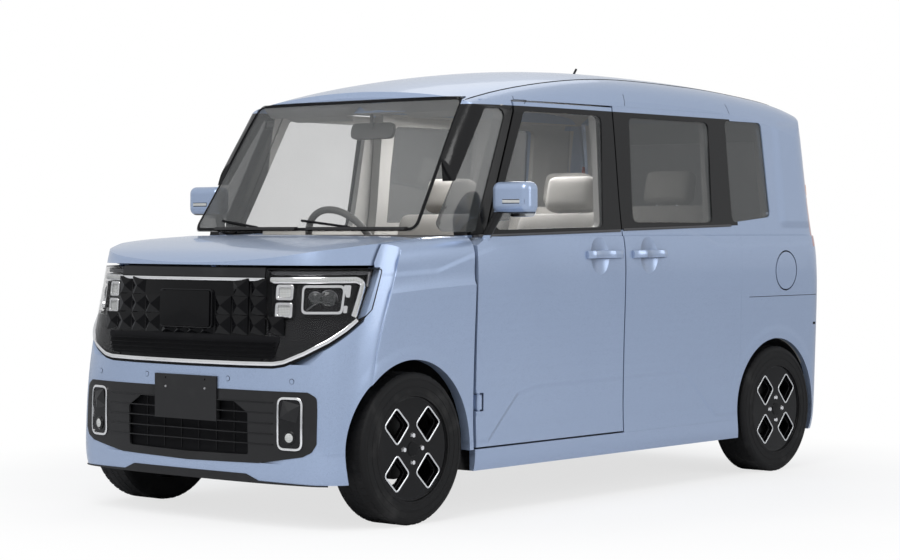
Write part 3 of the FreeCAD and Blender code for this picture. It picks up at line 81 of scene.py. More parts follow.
class Wire:
    """A value socket that takes part in plain maths, which adds its Math nodes."""

    def __init__(self, graph: "Graph", socket: bpy.types.NodeSocket) -> None:
        """Keeps the graph and the socket."""
        self.graph = graph
        self.socket = socket

    def apply(self, operation: str, first: object, second: object = 0.0, third: object = 0.0) -> "Wire":
        """Adds one Math node.

        Args:
            operation: the node's operation.
            first: value or wire of the first input.
            second: value or wire of the second input.
            third: value or wire of the third input.

        Returns:
            The wire of the node's result.
        """
        made = self.graph.add("ShaderNodeMath", {"operation": operation}, {0: first, 1: second, 2: third})
        return Wire(self.graph, made.outputs[0])

    def __add__(self, other: object) -> "Wire":
        """Sum."""
        return self.apply("ADD", self, other)

    def __radd__(self, other: object) -> "Wire":
        """Sum, reflected."""
        return self.apply("ADD", other, self)

    def __sub__(self, other: object) -> "Wire":
        """Difference."""
        return self.apply("SUBTRACT", self, other)

    def __rsub__(self, other: object) -> "Wire":
        """Difference, reflected."""
        return self.apply("SUBTRACT", other, self)

    def __mul__(self, other: object) -> "Wire":
        """Product."""
        return self.apply("MULTIPLY", self, other)

    def __rmul__(self, other: object) -> "Wire":
        """Product, reflected."""
        return self.apply("MULTIPLY", other, self)

    def __truediv__(self, other: object) -> "Wire":
        """Quotient."""
        return self.apply("DIVIDE", self, other)

    def abs(self) -> "Wire":
        """Size without sign."""
        return self.apply("ABSOLUTE", self)

    def root(self) -> "Wire":
        """Square root."""
        return self.apply("SQRT", self)

    def fract(self) -> "Wire":
        """Part after the point."""
        return self.apply("FRACT", self)

    def smaller(self, other: object) -> "Wire":
        """Lesser of two values."""
        return self.apply("MINIMUM", self, other)

    def larger(self, other: object) -> "Wire":
        """Greater of two values."""
        return self.apply("MAXIMUM", self, other)

    def ramp(self, start: float, end: float) -> "Wire":
        """Smooth step.

        Args:
            start: value that gives 0.
            end: value that gives 1.

        Returns:
            The wire that goes from 0 to 1.
        """
        made = self.graph.add("ShaderNodeMapRange", {"interpolation_type": "SMOOTHSTEP"},
                              {"Value": self, "From Min": start, "From Max": end})
        return Wire(self.graph, made.outputs[0])


class Graph:
    """A node tree that is filled by plain calls."""

    def __init__(self, tree: bpy.types.NodeTree) -> None:
        """Keeps the tree."""
        self.tree = tree

    def add(self, kind: str, settings: dict[str, object] | None = None,
            inputs: dict[object, object] | None = None) -> bpy.types.Node:
        """Adds one node.

        Args:
            kind: type of the node.
            settings: values of its properties, or the stops of a ramp, set first.
            inputs: values, sockets or wires of its inputs, by name or number.

        Returns:
            The node.
        """
        made = self.tree.nodes.new(kind)
        for name, value in (settings or {}).items():
            if name == "stops":
                ramp = made.color_ramp
                while len(ramp.elements) < len(value):
                    ramp.elements.new(1.0)
                for stop, (place, colour) in zip(ramp.elements, value):
                    stop.position, stop.color = place, (*colour, 1.0)
            else:
                setattr(made, name, value)
        for name, value in (inputs or {}).items():
            self.fill(made.inputs[name], value)
        return made

    def fill(self, socket: bpy.types.NodeSocket, value: object) -> None:
        """Links a wire or socket into an input, or sets its value.

        Args:
            socket: the input.
            value: value, socket or wire.
        """
        if isinstance(value, Wire):
            value = value.socket
        if isinstance(value, bpy.types.NodeSocket):
            self.tree.links.new(value, socket)
        elif hasattr(socket, "default_value"):
            socket.default_value = value

    def wire(self, socket: bpy.types.NodeSocket) -> Wire:
        """Wraps a socket for maths."""
        return Wire(self, socket)


class Shade(Graph):
    """The shader tree of one material, with the few patterns that the finishes share."""

    def __init__(self, name: str) -> None:
        """Makes the material and its Principled shader.

        Args:
            name: name of the material.
        """
        self.material = bpy.data.materials.new(name)
        self.material.use_nodes = True
        super().__init__(self.material.node_tree)
        self.tree.nodes.clear()
        self.shader = self.add("ShaderNodeBsdfPrincipled")
        self.out = self.add("ShaderNodeOutputMaterial", None, {"Surface": self.shader.outputs[0]})
        self.place = self.add("ShaderNodeTexCoord").outputs["Object"]

    def set(self, **values: object) -> None:
        """Sets or links inputs of the shader; a name's underscores stand for spaces.

        Args:
            values: values, sockets or wires by input.
        """
        for name, value in values.items():
            self.fill(self.shader.inputs[name.replace("_", " ")],
                      (*value, 1.0)[:4] if isinstance(value, tuple) else value)

    def noise(self, scale: float, detail: float = 2.0, stretch: Colour = (1.0, 1.0, 1.0)) -> Wire:
        """Noise over the object's own place.

        Args:
            scale: cells per metre.
            detail: octaves.
            stretch: scale along each axis.

        Returns:
            The wire of the noise, near 0.5.
        """
        turned = self.add("ShaderNodeMapping", None, {"Vector": self.place, "Scale": stretch})
        made = self.add("ShaderNodeTexNoise", None, {"Vector": turned.outputs[0], "Scale": scale, "Detail": detail})
        return self.wire(made.outputs[0])

    def axes(self) -> tuple[Wire, Wire, Wire]:
        """Wires of x, y and z of the object's own place."""
        made = self.add("ShaderNodeSeparateXYZ", None, {0: self.place})
        return tuple(self.wire(socket) for socket in made.outputs)

    def mix(self, factor: object, first: object, second: object) -> bpy.types.NodeSocket:
        """Mixes two colours.

        Args:
            factor: value or wire, 0 gives the first.
            first: first colour or socket.
            second: second colour or socket.

        Returns:
            The socket of the mixed colour.
        """
        fill = [(*c, 1.0) if isinstance(c, tuple) else c for c in (first, second)]
        made = self.add("ShaderNodeMix", {"data_type": "RGBA"}, {0: factor, 6: fill[0], 7: fill[1]})
        return made.outputs[2]

    def bump(self, height: object, depth: float, under: object = None) -> bpy.types.NodeSocket:
        """Adds a Bump node.

        Args:
            height: wire of the height, from 0 to 1.
            depth: height of 1, in metres.
            under: normal that it is added to.

        Returns:
            The socket of the normal.
        """
        links = {"Height": height, "Distance": depth, "Strength": 1.0}
        if under is not None:
            links["Normal"] = under
        return self.add("ShaderNodeBump", None, links).outputs[0]


class Look(Enum):
    """The finishes of the car, by the name that the pieces ask for."""

    PAINT = "paint"
    GLOSS = "gloss_black"
    PLASTIC = "black_plastic"
    UNDER = "chassis"
    STEEL = "steel"
    HOUSING = "lamp_housing"
    LENS = "clear_lens"
    EMITTER = "lamp_emitter"
    RED = "red_lens"
    AMBER = "amber_lens"
    CLEAR = "front_glass"
    TINTED = "rear_glass"
    CABIN = "cabin_plastic"
    PALE = "pale_cabin_plastic"
    FABRIC = "seat_fabric"
    RUBBER = "tyre_rubber"
    RIM = "rim_black"
    BRIGHT = "bright_trim"
    MACHINED = "machined_metal"
    SEAL = "rubber_seal"
    SMOKED = "smoked_metal"
    MIRROR = "mirror_glass"
    HOUSE = "paint_glasshouse"


@dataclass(frozen=True)
class BodyPaint:
    """Metallic paint under a clear coat, with the pressed lines and dark areas of its panels."""

    colour: Colour = (0.345, 0.425, 0.580)
    shade: Colour = (0.290, 0.368, 0.525)
    black: Colour = (0.0065, 0.0065, 0.007)
    cabin: Colour = (0.46, 0.45, 0.43)
    flake_scale: float = 900.0
    masked: bool = False
    cups: tuple[Flat, ...] = ((-0.095, 0.980), (0.250, 0.980))
    cup_reach: Flat = (0.062, 0.076)
    span: Flat = (-1.8, 1.8)
    lower_line: tuple[Flat, ...] = (
        (-1.8, 0.28), (-0.80, 0.28), (-0.62, 0.448), (-0.50, 0.472), (0.49, 0.481), (0.56, 0.455), (0.76, 0.28),
        (1.8, 0.28))
    upper_line: tuple[Flat, ...] = (
        (-1.8, 0.90), (-1.10, 0.93), (-0.921, 0.979), (-0.735, 1.024), (-0.381, 1.057), (-0.20, 1.066),
        (0.365, 1.077), (0.571, 1.077), (0.667, 1.051), (0.779, 1.016), (0.946, 1.011), (1.486, 1.021), (1.8, 1.03))
    flare: Flat = (0.345, 0.385)
    coat: float = 0.55
    lower_rise: float = 0.0048
    upper_drop: float = 0.0034
    cup_deep: float = 0.015
    flare_rise: float = 0.0022
    recess_deep: float = 0.010

    def height_line(self, shade: "Shade", y: Wire, points: Sequence[Flat]) -> Wire:
        """Height of a drawn line at each place along the car.

        Args:
            shade: the shader tree.
            y: wire of y.
            points: corners of the line.

        Returns:
            The wire of the result.
        """
        low, high = self.span
        share = (y - low) / (high - low)
        stops = [((at - low) / (high - low), (height,) * 3) for at, height in points]
        made = shade.add("ShaderNodeValToRGB", {"stops": stops}, {0: share})
        return shade.wire(made.outputs[0])

    def pressing(self, shade: "Shade", x: Wire, y: Wire, z: Wire) -> Wire:
        """Depth of the pressed lines and handle cups, in metres.

        Args:
            shade: the shader tree.
            x: wire of x.
            y: wire of y.
            z: wire of z.

        Returns:
            The wire of the result.
        """
        side = x.abs().ramp(0.60, 0.66)
        lower = (z - self.height_line(shade, y, self.lower_line)).ramp(-0.012, 0.012)
        upper = (z - self.height_line(shade, y, self.upper_line)).ramp(-0.008, 0.016)
        depth = lower * self.lower_rise - upper * self.upper_drop
        for place, height in self.cups:
            across, up = (y - place) / self.cup_reach[0], (z - height) / self.cup_reach[1]
            depth = depth - (1 - (across * across + up * up)).larger(0.0) * self.cup_deep
        for hub in (FRONT_AXLE_Y, REAR_AXLE_Y):
            across, up = y - hub, z - AXLE_Z
            depth = depth + (1 - (across * across + up * up).root().ramp(*self.flare)) * self.flare_rise
        recess = y.ramp(1.285, 1.372) * z.ramp(1.09, 1.13) * (1 - z.ramp(1.545, 1.585))
        return (depth + recess * self.recess_deep) * side

    def areas(self, x: Wire, y: Wire, z: Wire) -> tuple[Wire, Wire, Wire]:
        """Masks of the black glasshouse, the cabin's side and the wheel houses.

        Args:
            x: wire of x.
            y: wire of y.
            z: wire of z.

        Returns:
            The three masks.
        """
        wide = x.abs()
        above = (z - (1.083 + y * 0.023)).ramp(0.0, 0.002) * (1 - z.ramp(1.572, 1.574)) * (1 - y.ramp(0.957, 0.959))
        shell = wide.ramp(0.50, 0.52) * (1 - wide.ramp(0.729, 0.731) * z.ramp(1.153, 1.155))
        inner = 0.736 - (z - 1.0).larger(0.0) * 0.12 - 0.028 - wide
        inside = (inner.ramp(0.0, 0.002) * y.ramp(-0.62, -0.61) * (1 - y.ramp(1.50, 1.51))
                  * (1 - z.ramp(1.574, 1.576)))
        rails = ((0.635 - wide).ramp(0.0, 0.002) * (1.604 - z).ramp(0.0, 0.002) * z.ramp(1.574, 1.576)
                 * y.ramp(-0.25, -0.24) * (1 - y.ramp(1.45, 1.46)))
        gate = ((0.57 - wide).ramp(0.0, 0.002) * (1.602 - y).ramp(0.0, 0.002) * y.ramp(1.45, 1.46)
                * z.ramp(0.70, 0.71) * (1 - z.ramp(1.60, 1.61)))
        under = (0.700 - wide).ramp(0.0, 0.002) * (0.66 - z).ramp(0.0, 0.01)
        return above * shell, inside.larger(rails).larger(gate), under

    def build(self, name: str) -> bpy.types.Material:
        """Builds the paint, with fine flake, a faint orange peel and the pressings.

        Args:
            name: name of the material.

        Returns:
            The material.
        """
        shade = Shade(name)
        x, y, z = shade.axes()
        flake, cloud = shade.noise(self.flake_scale, 1.0), shade.noise(2.0, 2.0)
        tone = shade.mix(flake * 0.6 + cloud * 0.4, self.shade, self.colour)
        metal, rough = 0.50 + (flake - 0.5) * 0.1, 0.30 + (flake - 0.5) * 0.2
        coat: object = self.coat
        if self.masked:
            house, inside, under = self.areas(x, y, z)
            tone = shade.mix(inside, shade.mix(house, tone, self.black), self.cabin)
            tone = shade.mix(under, tone, self.black)
            dark = house.larger(inside).larger(under)
            metal, rough = metal * (1 - dark), rough * (1 - dark) + dark * (0.16 + inside * 0.4)
            coat = self.coat - dark * 0.52
        peel = shade.bump(shade.noise(170.0, 1.0), 0.00003)
        shade.set(Base_Color=tone, Metallic=metal, Roughness=rough, Coat_Weight=coat, Coat_Roughness=0.06,
                  Specular_IOR_Level=0.25, Normal=shade.bump(self.pressing(shade, x, y, z), 1.0, peel))
        return shade.material


@dataclass(frozen=True)
class Moulded:
    """Moulded plastic or rubber: one colour with grain, dust and a sheen that wanders."""

    colour: Colour
    rough: float
    grain: float = 1400.0
    depth: float = 0.00008
    coat: float = 0.0
    level: float = 0.5
    worn: Colour = (0.12, 0.12, 0.12)
    wear: float = 0.15

    def build(self, name: str) -> bpy.types.Material:
        """Builds the plastic, with grain and slight wear.

        Args:
            name: name of the material.

        Returns:
            The material.
        """
        shade = Shade(name)
        cloud = shade.noise(9.0, 4.0)
        grain = shade.noise(self.grain, 2.0)
        shade.set(Base_Color=shade.mix(cloud.ramp(0.52, 0.78) * self.wear, self.colour, self.worn),
                  Roughness=(self.rough + (cloud - 0.5) * 0.14).larger(0.02), Coat_Weight=self.coat,
                  Specular_IOR_Level=self.level, Normal=shade.bump(grain, self.depth))
        return shade.material


@dataclass(frozen=True)
class Metal:
    """Metal, from chrome to cast or brushed."""

    colour: Colour
    rough: float
    stretch: Colour = (1.0, 1.0, 1.0)
    scale: float = 500.0
    depth: float = 0.00002

    def build(self, name: str) -> bpy.types.Material:
        """Builds the metal, with brushed or cast grain.

        Args:
            name: name of the material.

        Returns:
            The material.
        """
        shade = Shade(name)
        grain = shade.noise(self.scale, 2.0, self.stretch)
        cloud = shade.noise(12.0, 3.0)
        shade.set(Base_Color=shade.mix(cloud.ramp(0.45, 0.75) * 0.35, self.colour,
                                       tuple(0.7 * part for part in self.colour)),
                  Metallic=1.0, Roughness=(self.rough + (grain - 0.5) * 0.12 + (cloud - 0.5) * 0.1).larger(0.03),
                  Normal=shade.bump(grain, self.depth))
        return shade.material


@dataclass(frozen=True)
class Pane:
    """Glass or a clear lens, seen through by its alpha."""

    colour: Colour
    alpha: float
    rough: float = 0.02

    def build(self, name: str) -> bpy.types.Material:
        """Builds the pane, a little denser where its edge turns away.

        Args:
            name: name of the material.

        Returns:
            The material.
        """
        shade = Shade(name)
        rim = shade.wire(shade.add("ShaderNodeLayerWeight", None, {"Blend": 0.25}).outputs["Facing"])
        haze = shade.noise(3.0, 3.0)
        shade.set(Base_Color=self.colour, Roughness=self.rough + haze * 0.03, Specular_IOR_Level=0.6,
                  Alpha=(self.alpha + (haze - 0.5) * 0.04 + rim * rim * 0.35).smaller(1.0))
        return shade.material


@dataclass(frozen=True)
class Cloth:
    """Woven seat cloth with a soft sheen."""

    colour: Colour = (0.36, 0.345, 0.32)
    dark: Colour = (0.24, 0.23, 0.215)
    pitch: float = 0.0032

    def build(self, name: str) -> bpy.types.Material:
        """Builds the cloth: a fine weave over a slow mottling.

        Args:
            name: name of the material.

        Returns:
            The material.
        """
        shade = Shade(name)
        turned = shade.add("ShaderNodeMapping", None, {"Vector": shade.place, "Rotation": (0.6, 0.2, 0.785)})
        waves = [shade.wire(shade.add("ShaderNodeTexWave", {"bands_direction": axis}, {
            "Vector": turned.outputs[0], "Scale": 0.32 / self.pitch, "Distortion": 0.6, "Detail": 1.0}).outputs[1])
            for axis in ("X", "Y")]
        weave = (waves[0] + waves[1]) * 0.5
        mottle = shade.noise(14.0, 4.0)
        tone = shade.mix((weave * 0.45 + mottle * 0.6).smaller(1.0), self.dark, self.colour)
        shade.set(Base_Color=tone, Roughness=0.86 - mottle * 0.1, Sheen_Weight=0.25, Sheen_Roughness=0.5,
                  Specular_IOR_Level=0.25, Normal=shade.bump(weave, 0.0005))
        return shade.material


@dataclass(frozen=True)
class Glow:
    """A lit face under a lens, with a fine grid of optics."""

    colour: Colour
    light: Colour
    power: float
    pitch: float = 0.006

    def build(self, name: str) -> bpy.types.Material:
        """Builds the emitter: small pillows of optics, with painted shade that darkens each towards its edge.

        Args:
            name: name of the material.

        Returns:
            The material.
        """
        shade = Shade(name)
        x, _, z = shade.axes()
        pillow = [((axis / self.pitch).fract() - 0.5).abs() * 2.0 for axis in (x, z)]
        dome = 1 - (pillow[0] * pillow[0] + pillow[1] * pillow[1]) * 0.5
        # Painted shade: the base colour darkens towards each pillow's edge, following its dome.
        shade.set(Base_Color=shade.mix(dome, tuple(0.45 * part for part in self.colour), self.colour),
                  Roughness=0.12, Emission_Color=self.light, Emission_Strength=self.power,
                  Normal=shade.bump(dome, 0.0012))
        return shade.material


FINISHES = {
    Look.PAINT: BodyPaint(),
    Look.HOUSE: BodyPaint(masked=True),
    Look.GLOSS: Moulded((0.003, 0.003, 0.0035), 0.10, 90.0, 0.00002, 0.03, 0.12, (0.008, 0.008, 0.009), 0.3),
    Look.PLASTIC: Moulded((0.016, 0.016, 0.017), 0.46, 1500.0, 0.00010, 0.0, 0.2, (0.035, 0.035, 0.035), 0.3),
    Look.UNDER: Moulded((0.020, 0.020, 0.021), 0.6, 220.0, 0.0004, 0.0, 0.3, (0.07, 0.065, 0.06), 0.5),
    Look.STEEL: Metal((0.42, 0.42, 0.43), 0.38, (1.0, 1.0, 1.0), 260.0, 0.0001),
    Look.HOUSING: Moulded((0.009, 0.009, 0.010), 0.22, 200.0, 0.00003, 0.0, 0.2, (0.03, 0.03, 0.03), 0.2),
    Look.LENS: Pane((0.05, 0.05, 0.05), 0.05, 0.01),
    Look.EMITTER: Glow((0.55, 0.56, 0.55), (1.0, 0.97, 0.9), 0.05),
    Look.RED: Moulded((0.30, 0.008, 0.010), 0.08, 300.0, 0.0002, 1.0, 0.6, (0.42, 0.02, 0.02), 0.6),
    Look.AMBER: Moulded((0.75, 0.25, 0.03), 0.10, 300.0, 0.0002, 1.0),
    Look.CLEAR: Pane((0.20, 0.205, 0.205), 0.15),
    Look.TINTED: Pane((0.055, 0.058, 0.058), 0.66),
    Look.CABIN: Moulded((0.12, 0.117, 0.112), 0.55, 700.0, 0.0002, 0.0, 0.4),
    Look.PALE: Moulded((0.42, 0.41, 0.39), 0.62, 700.0, 0.0002, 0.0, 0.4, (0.5, 0.49, 0.47), 0.3),
    Look.FABRIC: Cloth(),
    Look.RUBBER: Moulded((0.008, 0.008, 0.0085), 0.62, 500.0, 0.0002, 0.0, 0.15, (0.045, 0.044, 0.043), 0.5),
    Look.RIM: Moulded((0.003, 0.003, 0.0035), 0.14, 120.0, 0.00002, 0.05, 0.15, (0.02, 0.02, 0.02), 0.2),
    Look.BRIGHT: Metal((0.78, 0.78, 0.79), 0.12, (1.0, 1.0, 1.0), 60.0, 0.00001),
    Look.MACHINED: Metal((0.70, 0.71, 0.72), 0.26, (1.0, 6.0, 1.0), 700.0, 0.00002),
    Look.SEAL: Moulded((0.006, 0.006, 0.007), 0.7, 900.0, 0.0001, 0.0, 0.1, (0.02, 0.02, 0.02), 0.3),
    Look.SMOKED: Metal((0.10, 0.10, 0.105), 0.30, (1.0, 1.0, 1.0), 260.0, 0.00005),
    Look.MIRROR: Metal((0.55, 0.57, 0.60), 0.05, (1.0, 1.0, 1.0), 8.0, 0.000002),
}


class Palette:
    """Builds each finish once and gives it to the pieces."""

    def __init__(self) -> None:
        """Starts with nothing built."""
        self.made: dict[Look, bpy.types.Material] = {}

    def get(self, look: Look) -> bpy.types.Material:
        """The material of a look, built on its first use.

        Args:
            look: the finish.

        Returns:
            The material.
        """
        if look not in self.made:
            self.made[look] = FINISHES[look].build(look.value)
        return self.made[look]


class Skin:
    """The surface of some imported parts, asked by rays."""

    def __init__(self, nodes: dict[str, bpy.types.Object], names: Sequence[str]) -> None:
        """Joins the named nodes' faces into one tree.

        Args:
            nodes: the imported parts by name.
            names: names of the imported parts.
        """
        points: list[Vector] = []
        faces: list[list[int]] = []
        for name in names:
            mesh = nodes[name].data
            first = len(points)
            points.extend(vertex.co.copy() for vertex in mesh.vertices)
            faces.extend([first + i for i in face.vertices] for face in mesh.polygons)
        self.tree = BVHTree.FromPolygons(points, faces)

    def hit(self, start: Vector, aim: Vector) -> Spot | None:
        """First point and outward normal that a ray meets, or None.

        Args:
            start: start of the ray.
            aim: direction.

        Returns:
            The point and its outward normal, or None.
        """
        point, normal, _, _ = self.tree.ray_cast(start, aim)
        if point is None:
            return None
        return point, (normal if normal.dot(aim) < 0 else -normal)


class Shop:
    """Makes meshes from flat outlines that are laid on the body, and hands finished pieces over."""

    def __init__(self, frame: dict[str, object]) -> None:
        """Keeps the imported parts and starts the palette."""
        self.nodes: dict[str, bpy.types.Object] = frame["nodes"]
        self.palette = Palette()

    def dress(self, look: Look, *names: str) -> None:
        """Gives one look to every slot of the named nodes.

        Args:
            look: the finish.
            names: names of the nodes.
        """
        for name in names:
            for index in range(len(self.nodes[name].data.materials)):
                self.nodes[name].material_slots[index].material = self.palette.get(look)

    def piece(self, name: str, mesh: bmesh.types.BMesh, look: Look, body: str, smooth: float = 35.0,
              bevel: float = 0.0) -> bpy.types.Object:
        """Turns a built mesh into a finished piece.

        Args:
            name: name of the piece.
            mesh: its faces; it is freed here.
            look: its finish.
            body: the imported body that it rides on.
            smooth: angle in degrees under which edges shade smooth.
            bevel: width in metres of a bevel on its sharp edges.

        Returns:
            The object.
        """
        bmesh.ops.remove_doubles(mesh, verts=mesh.verts, dist=1e-6)
        limit = math.radians(smooth)
        for face in mesh.faces:
            face.smooth = True
        for edge in mesh.edges:
            edge.smooth = not (edge.is_manifold and edge.calc_face_angle(0.0) > limit)
        data = bpy.data.meshes.new(name)
        mesh.to_mesh(data)
        mesh.free()
        made = bpy.data.objects.new(name, data)
        bpy.context.scene.collection.objects.link(made)
        data.materials.append(self.palette.get(look))
        if bevel:
            cut = made.modifiers.new("edge", "BEVEL")
            cut.width, cut.segments, cut.limit_method, cut.angle_limit = bevel, 2, "ANGLE", limit
            cut.use_clamp_overlap = True
        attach(made, body)
        LOG.info("%s: %d faces on %s", name, len(data.polygons), body)
        return made

    def plate(self, outline: Sequence[Flat], place: Place, low: float, high: float, step: float = 0.02,
              holes: Sequence[Sequence[Flat]] = (), mesh: bmesh.types.BMesh | None = None) -> bmesh.types.BMesh:
        """Builds a plate with walls from a flat outline laid on a surface.

        Args:
            outline: corners in the surface's two coordinates.
            place: gives the point and normal of two coordinates.
            low: height of its under side over the surface.
            high: height of its upper side.
            step: largest spacing of its grid.
            holes: outlines cut out of it.
            mesh: mesh that it is added to.

        Returns:
            The mesh.
        """
        flat = bmesh.new()
        edges = []
        for loop in (outline, *holes):
            ring = [flat.verts.new((u, v, 0.0)) for u, v in loop]
            edges += [flat.edges.new((a, b)) for a, b in zip(ring, ring[1:] + ring[:1])]
        bmesh.ops.triangle_fill(flat, use_beauty=True, edges=edges, normal=(0.0, 0.0, 1.0))
        for axis in (0, 1):
            values = [vertex.co[axis] for vertex in flat.verts]
            count = int((max(values) - min(values)) / step)
            for index in range(1, count + 1):
                spot = Vector((0.0, 0.0, 0.0))
                spot[axis] = min(values) + (max(values) - min(values)) * index / (count + 1)
                bmesh.ops.bisect_plane(flat, geom=flat.verts[:] + flat.edges[:] + flat.faces[:],
                                       plane_co=spot, plane_no=(ACROSS, ALONG)[axis], dist=1e-6)
        mesh = mesh or bmesh.new()
        flat.verts.index_update()
        laid = [place(vertex.co.x, vertex.co.y) for vertex in flat.verts]
        lower = [mesh.verts.new(point + normal * low) for point, normal in laid]
        upper = [mesh.verts.new(point + normal * high) for point, normal in laid]
        fresh = []
        for face in flat.faces:
            ring = [vertex.index for vertex in face.verts]
            if face.normal.z < 0:
                ring.reverse()
            fresh.append(mesh.faces.new([upper[i] for i in ring]))
            fresh.append(mesh.faces.new([lower[i] for i in reversed(ring)]))
        for edge in flat.edges:
            if edge.is_boundary:
                a, b = (vertex.index for vertex in edge.verts)
                fresh.append(mesh.faces.new((lower[a], lower[b], upper[b], upper[a])))
        bmesh.ops.recalc_face_normals(mesh, faces=fresh)
        flat.free()
        return mesh

    def slab(self, name: str, outline: Sequence[Flat], place: Place, levels: Flat, look: Look, body: str = "body",
             bevel: float = 0.0, step: float = 0.02, holes: Sequence[Sequence[Flat]] = ()) -> bpy.types.Object:
        """Builds a plate and hands it over as a finished piece."""
        return self.piece(name, self.plate(outline, place, *levels, step, holes), look, body, bevel=bevel)

    def strip(self, name: str, path: Sequence[Spot], section: Sequence[Flat], look: Look, body: str = "body",
              closed: bool = False) -> bpy.types.Object:
        """Sweeps a section and hands it over as a finished piece."""
        return self.piece(name, self.rail(path, section, closed), look, body)

    def rail(self, path: Sequence[Spot], section: Sequence[Flat], closed: bool = False,
             mesh: bmesh.types.BMesh | None = None) -> bmesh.types.BMesh:
        """Sweeps a closed section along points that lie on a surface.

        Args:
            path: points with the surface's normal there.
            section: corners as (across, out from the surface).
            closed: whether the path closes on itself.
            mesh: mesh that it is added to.

        Returns:
            The mesh.
        """
        mesh = mesh or bmesh.new()
        count = len(path)
        rings = []
        for index, (point, normal) in enumerate(path):
            before = path[index - 1][0] if index or closed else point
            after = path[(index + 1) % count][0] if index < count - 1 or closed else point
            along = (after - before).normalized()
            side = along.cross(normal).normalized()
            turn = 1.0
            if before is not point and after is not point:
                lead = (after - point).normalized()
                turn = 1.0 / max(0.35, math.sqrt(max(0.0, (1.0 + lead.dot((point - before).normalized())) / 2)))
            rings.append([mesh.verts.new(point + side * (across * turn) + normal * out) for across, out in section])
        fresh = []
        size = len(section)
        for index in range(count if closed else count - 1):
            here, there = rings[index], rings[(index + 1) % count]
            for j in range(size):
                fresh.append(mesh.faces.new((here[j], here[(j + 1) % size], there[(j + 1) % size], there[j])))
        if not closed:
            fresh += [mesh.faces.new(rings[0]), mesh.faces.new(rings[-1])]
        bmesh.ops.recalc_face_normals(mesh, faces=fresh)
        return mesh


def line(points: Sequence[Flat], step: float, closed: bool = False) -> list[Flat]:
    """Divides the runs between corners evenly.

    Args:
        points: corners.
        step: largest spacing.
        closed: whether the last corner joins the first.

    Returns:
        The corners with the points between them.
    """
    found: list[Flat] = []
    runs = list(zip(points, list(points[1:]) + ([points[0]] if closed else [])))
    for (ax, ay), (bx, by) in runs:
        parts = max(1, round(math.hypot(bx - ax, by - ay) / step))
        found += [(ax + (bx - ax) * k / parts, ay + (by - ay) * k / parts) for k in range(parts)]
    return found if closed else found + [points[-1]]


def rounded(points: Sequence[Flat], radius: float, parts: int = 5, closed: bool = True) -> list[Flat]:
    """Rounds the corners of an outline.

    Args:
        points: corners in order.
        radius: radius of each corner, less where its sides are short.
        parts: steps of each corner.
        closed: whether the outline closes; otherwise its two ends stay.

    Returns:
        The corners of the rounded outline.
    """
    found: list[Flat] = []
    count = len(points)
    for i, corner in enumerate(points):
        if not closed and i in (0, count - 1):
            found.append(corner)
            continue
        here = Vector(corner)
        back, on = Vector(points[i - 1]) - here, Vector(points[(i + 1) % count]) - here
        half = back.angle(on) / 2
        reach = min(radius / max(0.05, math.tan(half)), back.length * 0.48, on.length * 0.48)
        start, end = here + back.normalized() * reach, here + on.normalized() * reach
        for k in range(parts + 1):
            t = k / parts
            spot = start * (1 - t) ** 2 + here * (2 * t * (1 - t)) + end * t ** 2
            found.append((spot.x, spot.y))
    return found


def box_outline(low: Flat, high: Flat, radius: float = 0.0) -> list[Flat]:
    """Outline of a rectangle with rounded corners."""
    corners = [low, (high[0], low[1]), high, (low[0], high[1])]
    return rounded(corners, radius) if radius else corners


def band(half: float, low: float, high: float, radius: float = 0.0) -> list[Flat]:
    """Outline of a rounded rectangle about the middle."""
    return box_outline((-half, low), (half, high), radius)


def mirrored(outline: Sequence[Flat]) -> list[Flat]:
    """The outline with its first coordinate turned round, in the other order."""
    return [(-u, v) for u, v in reversed(outline)]


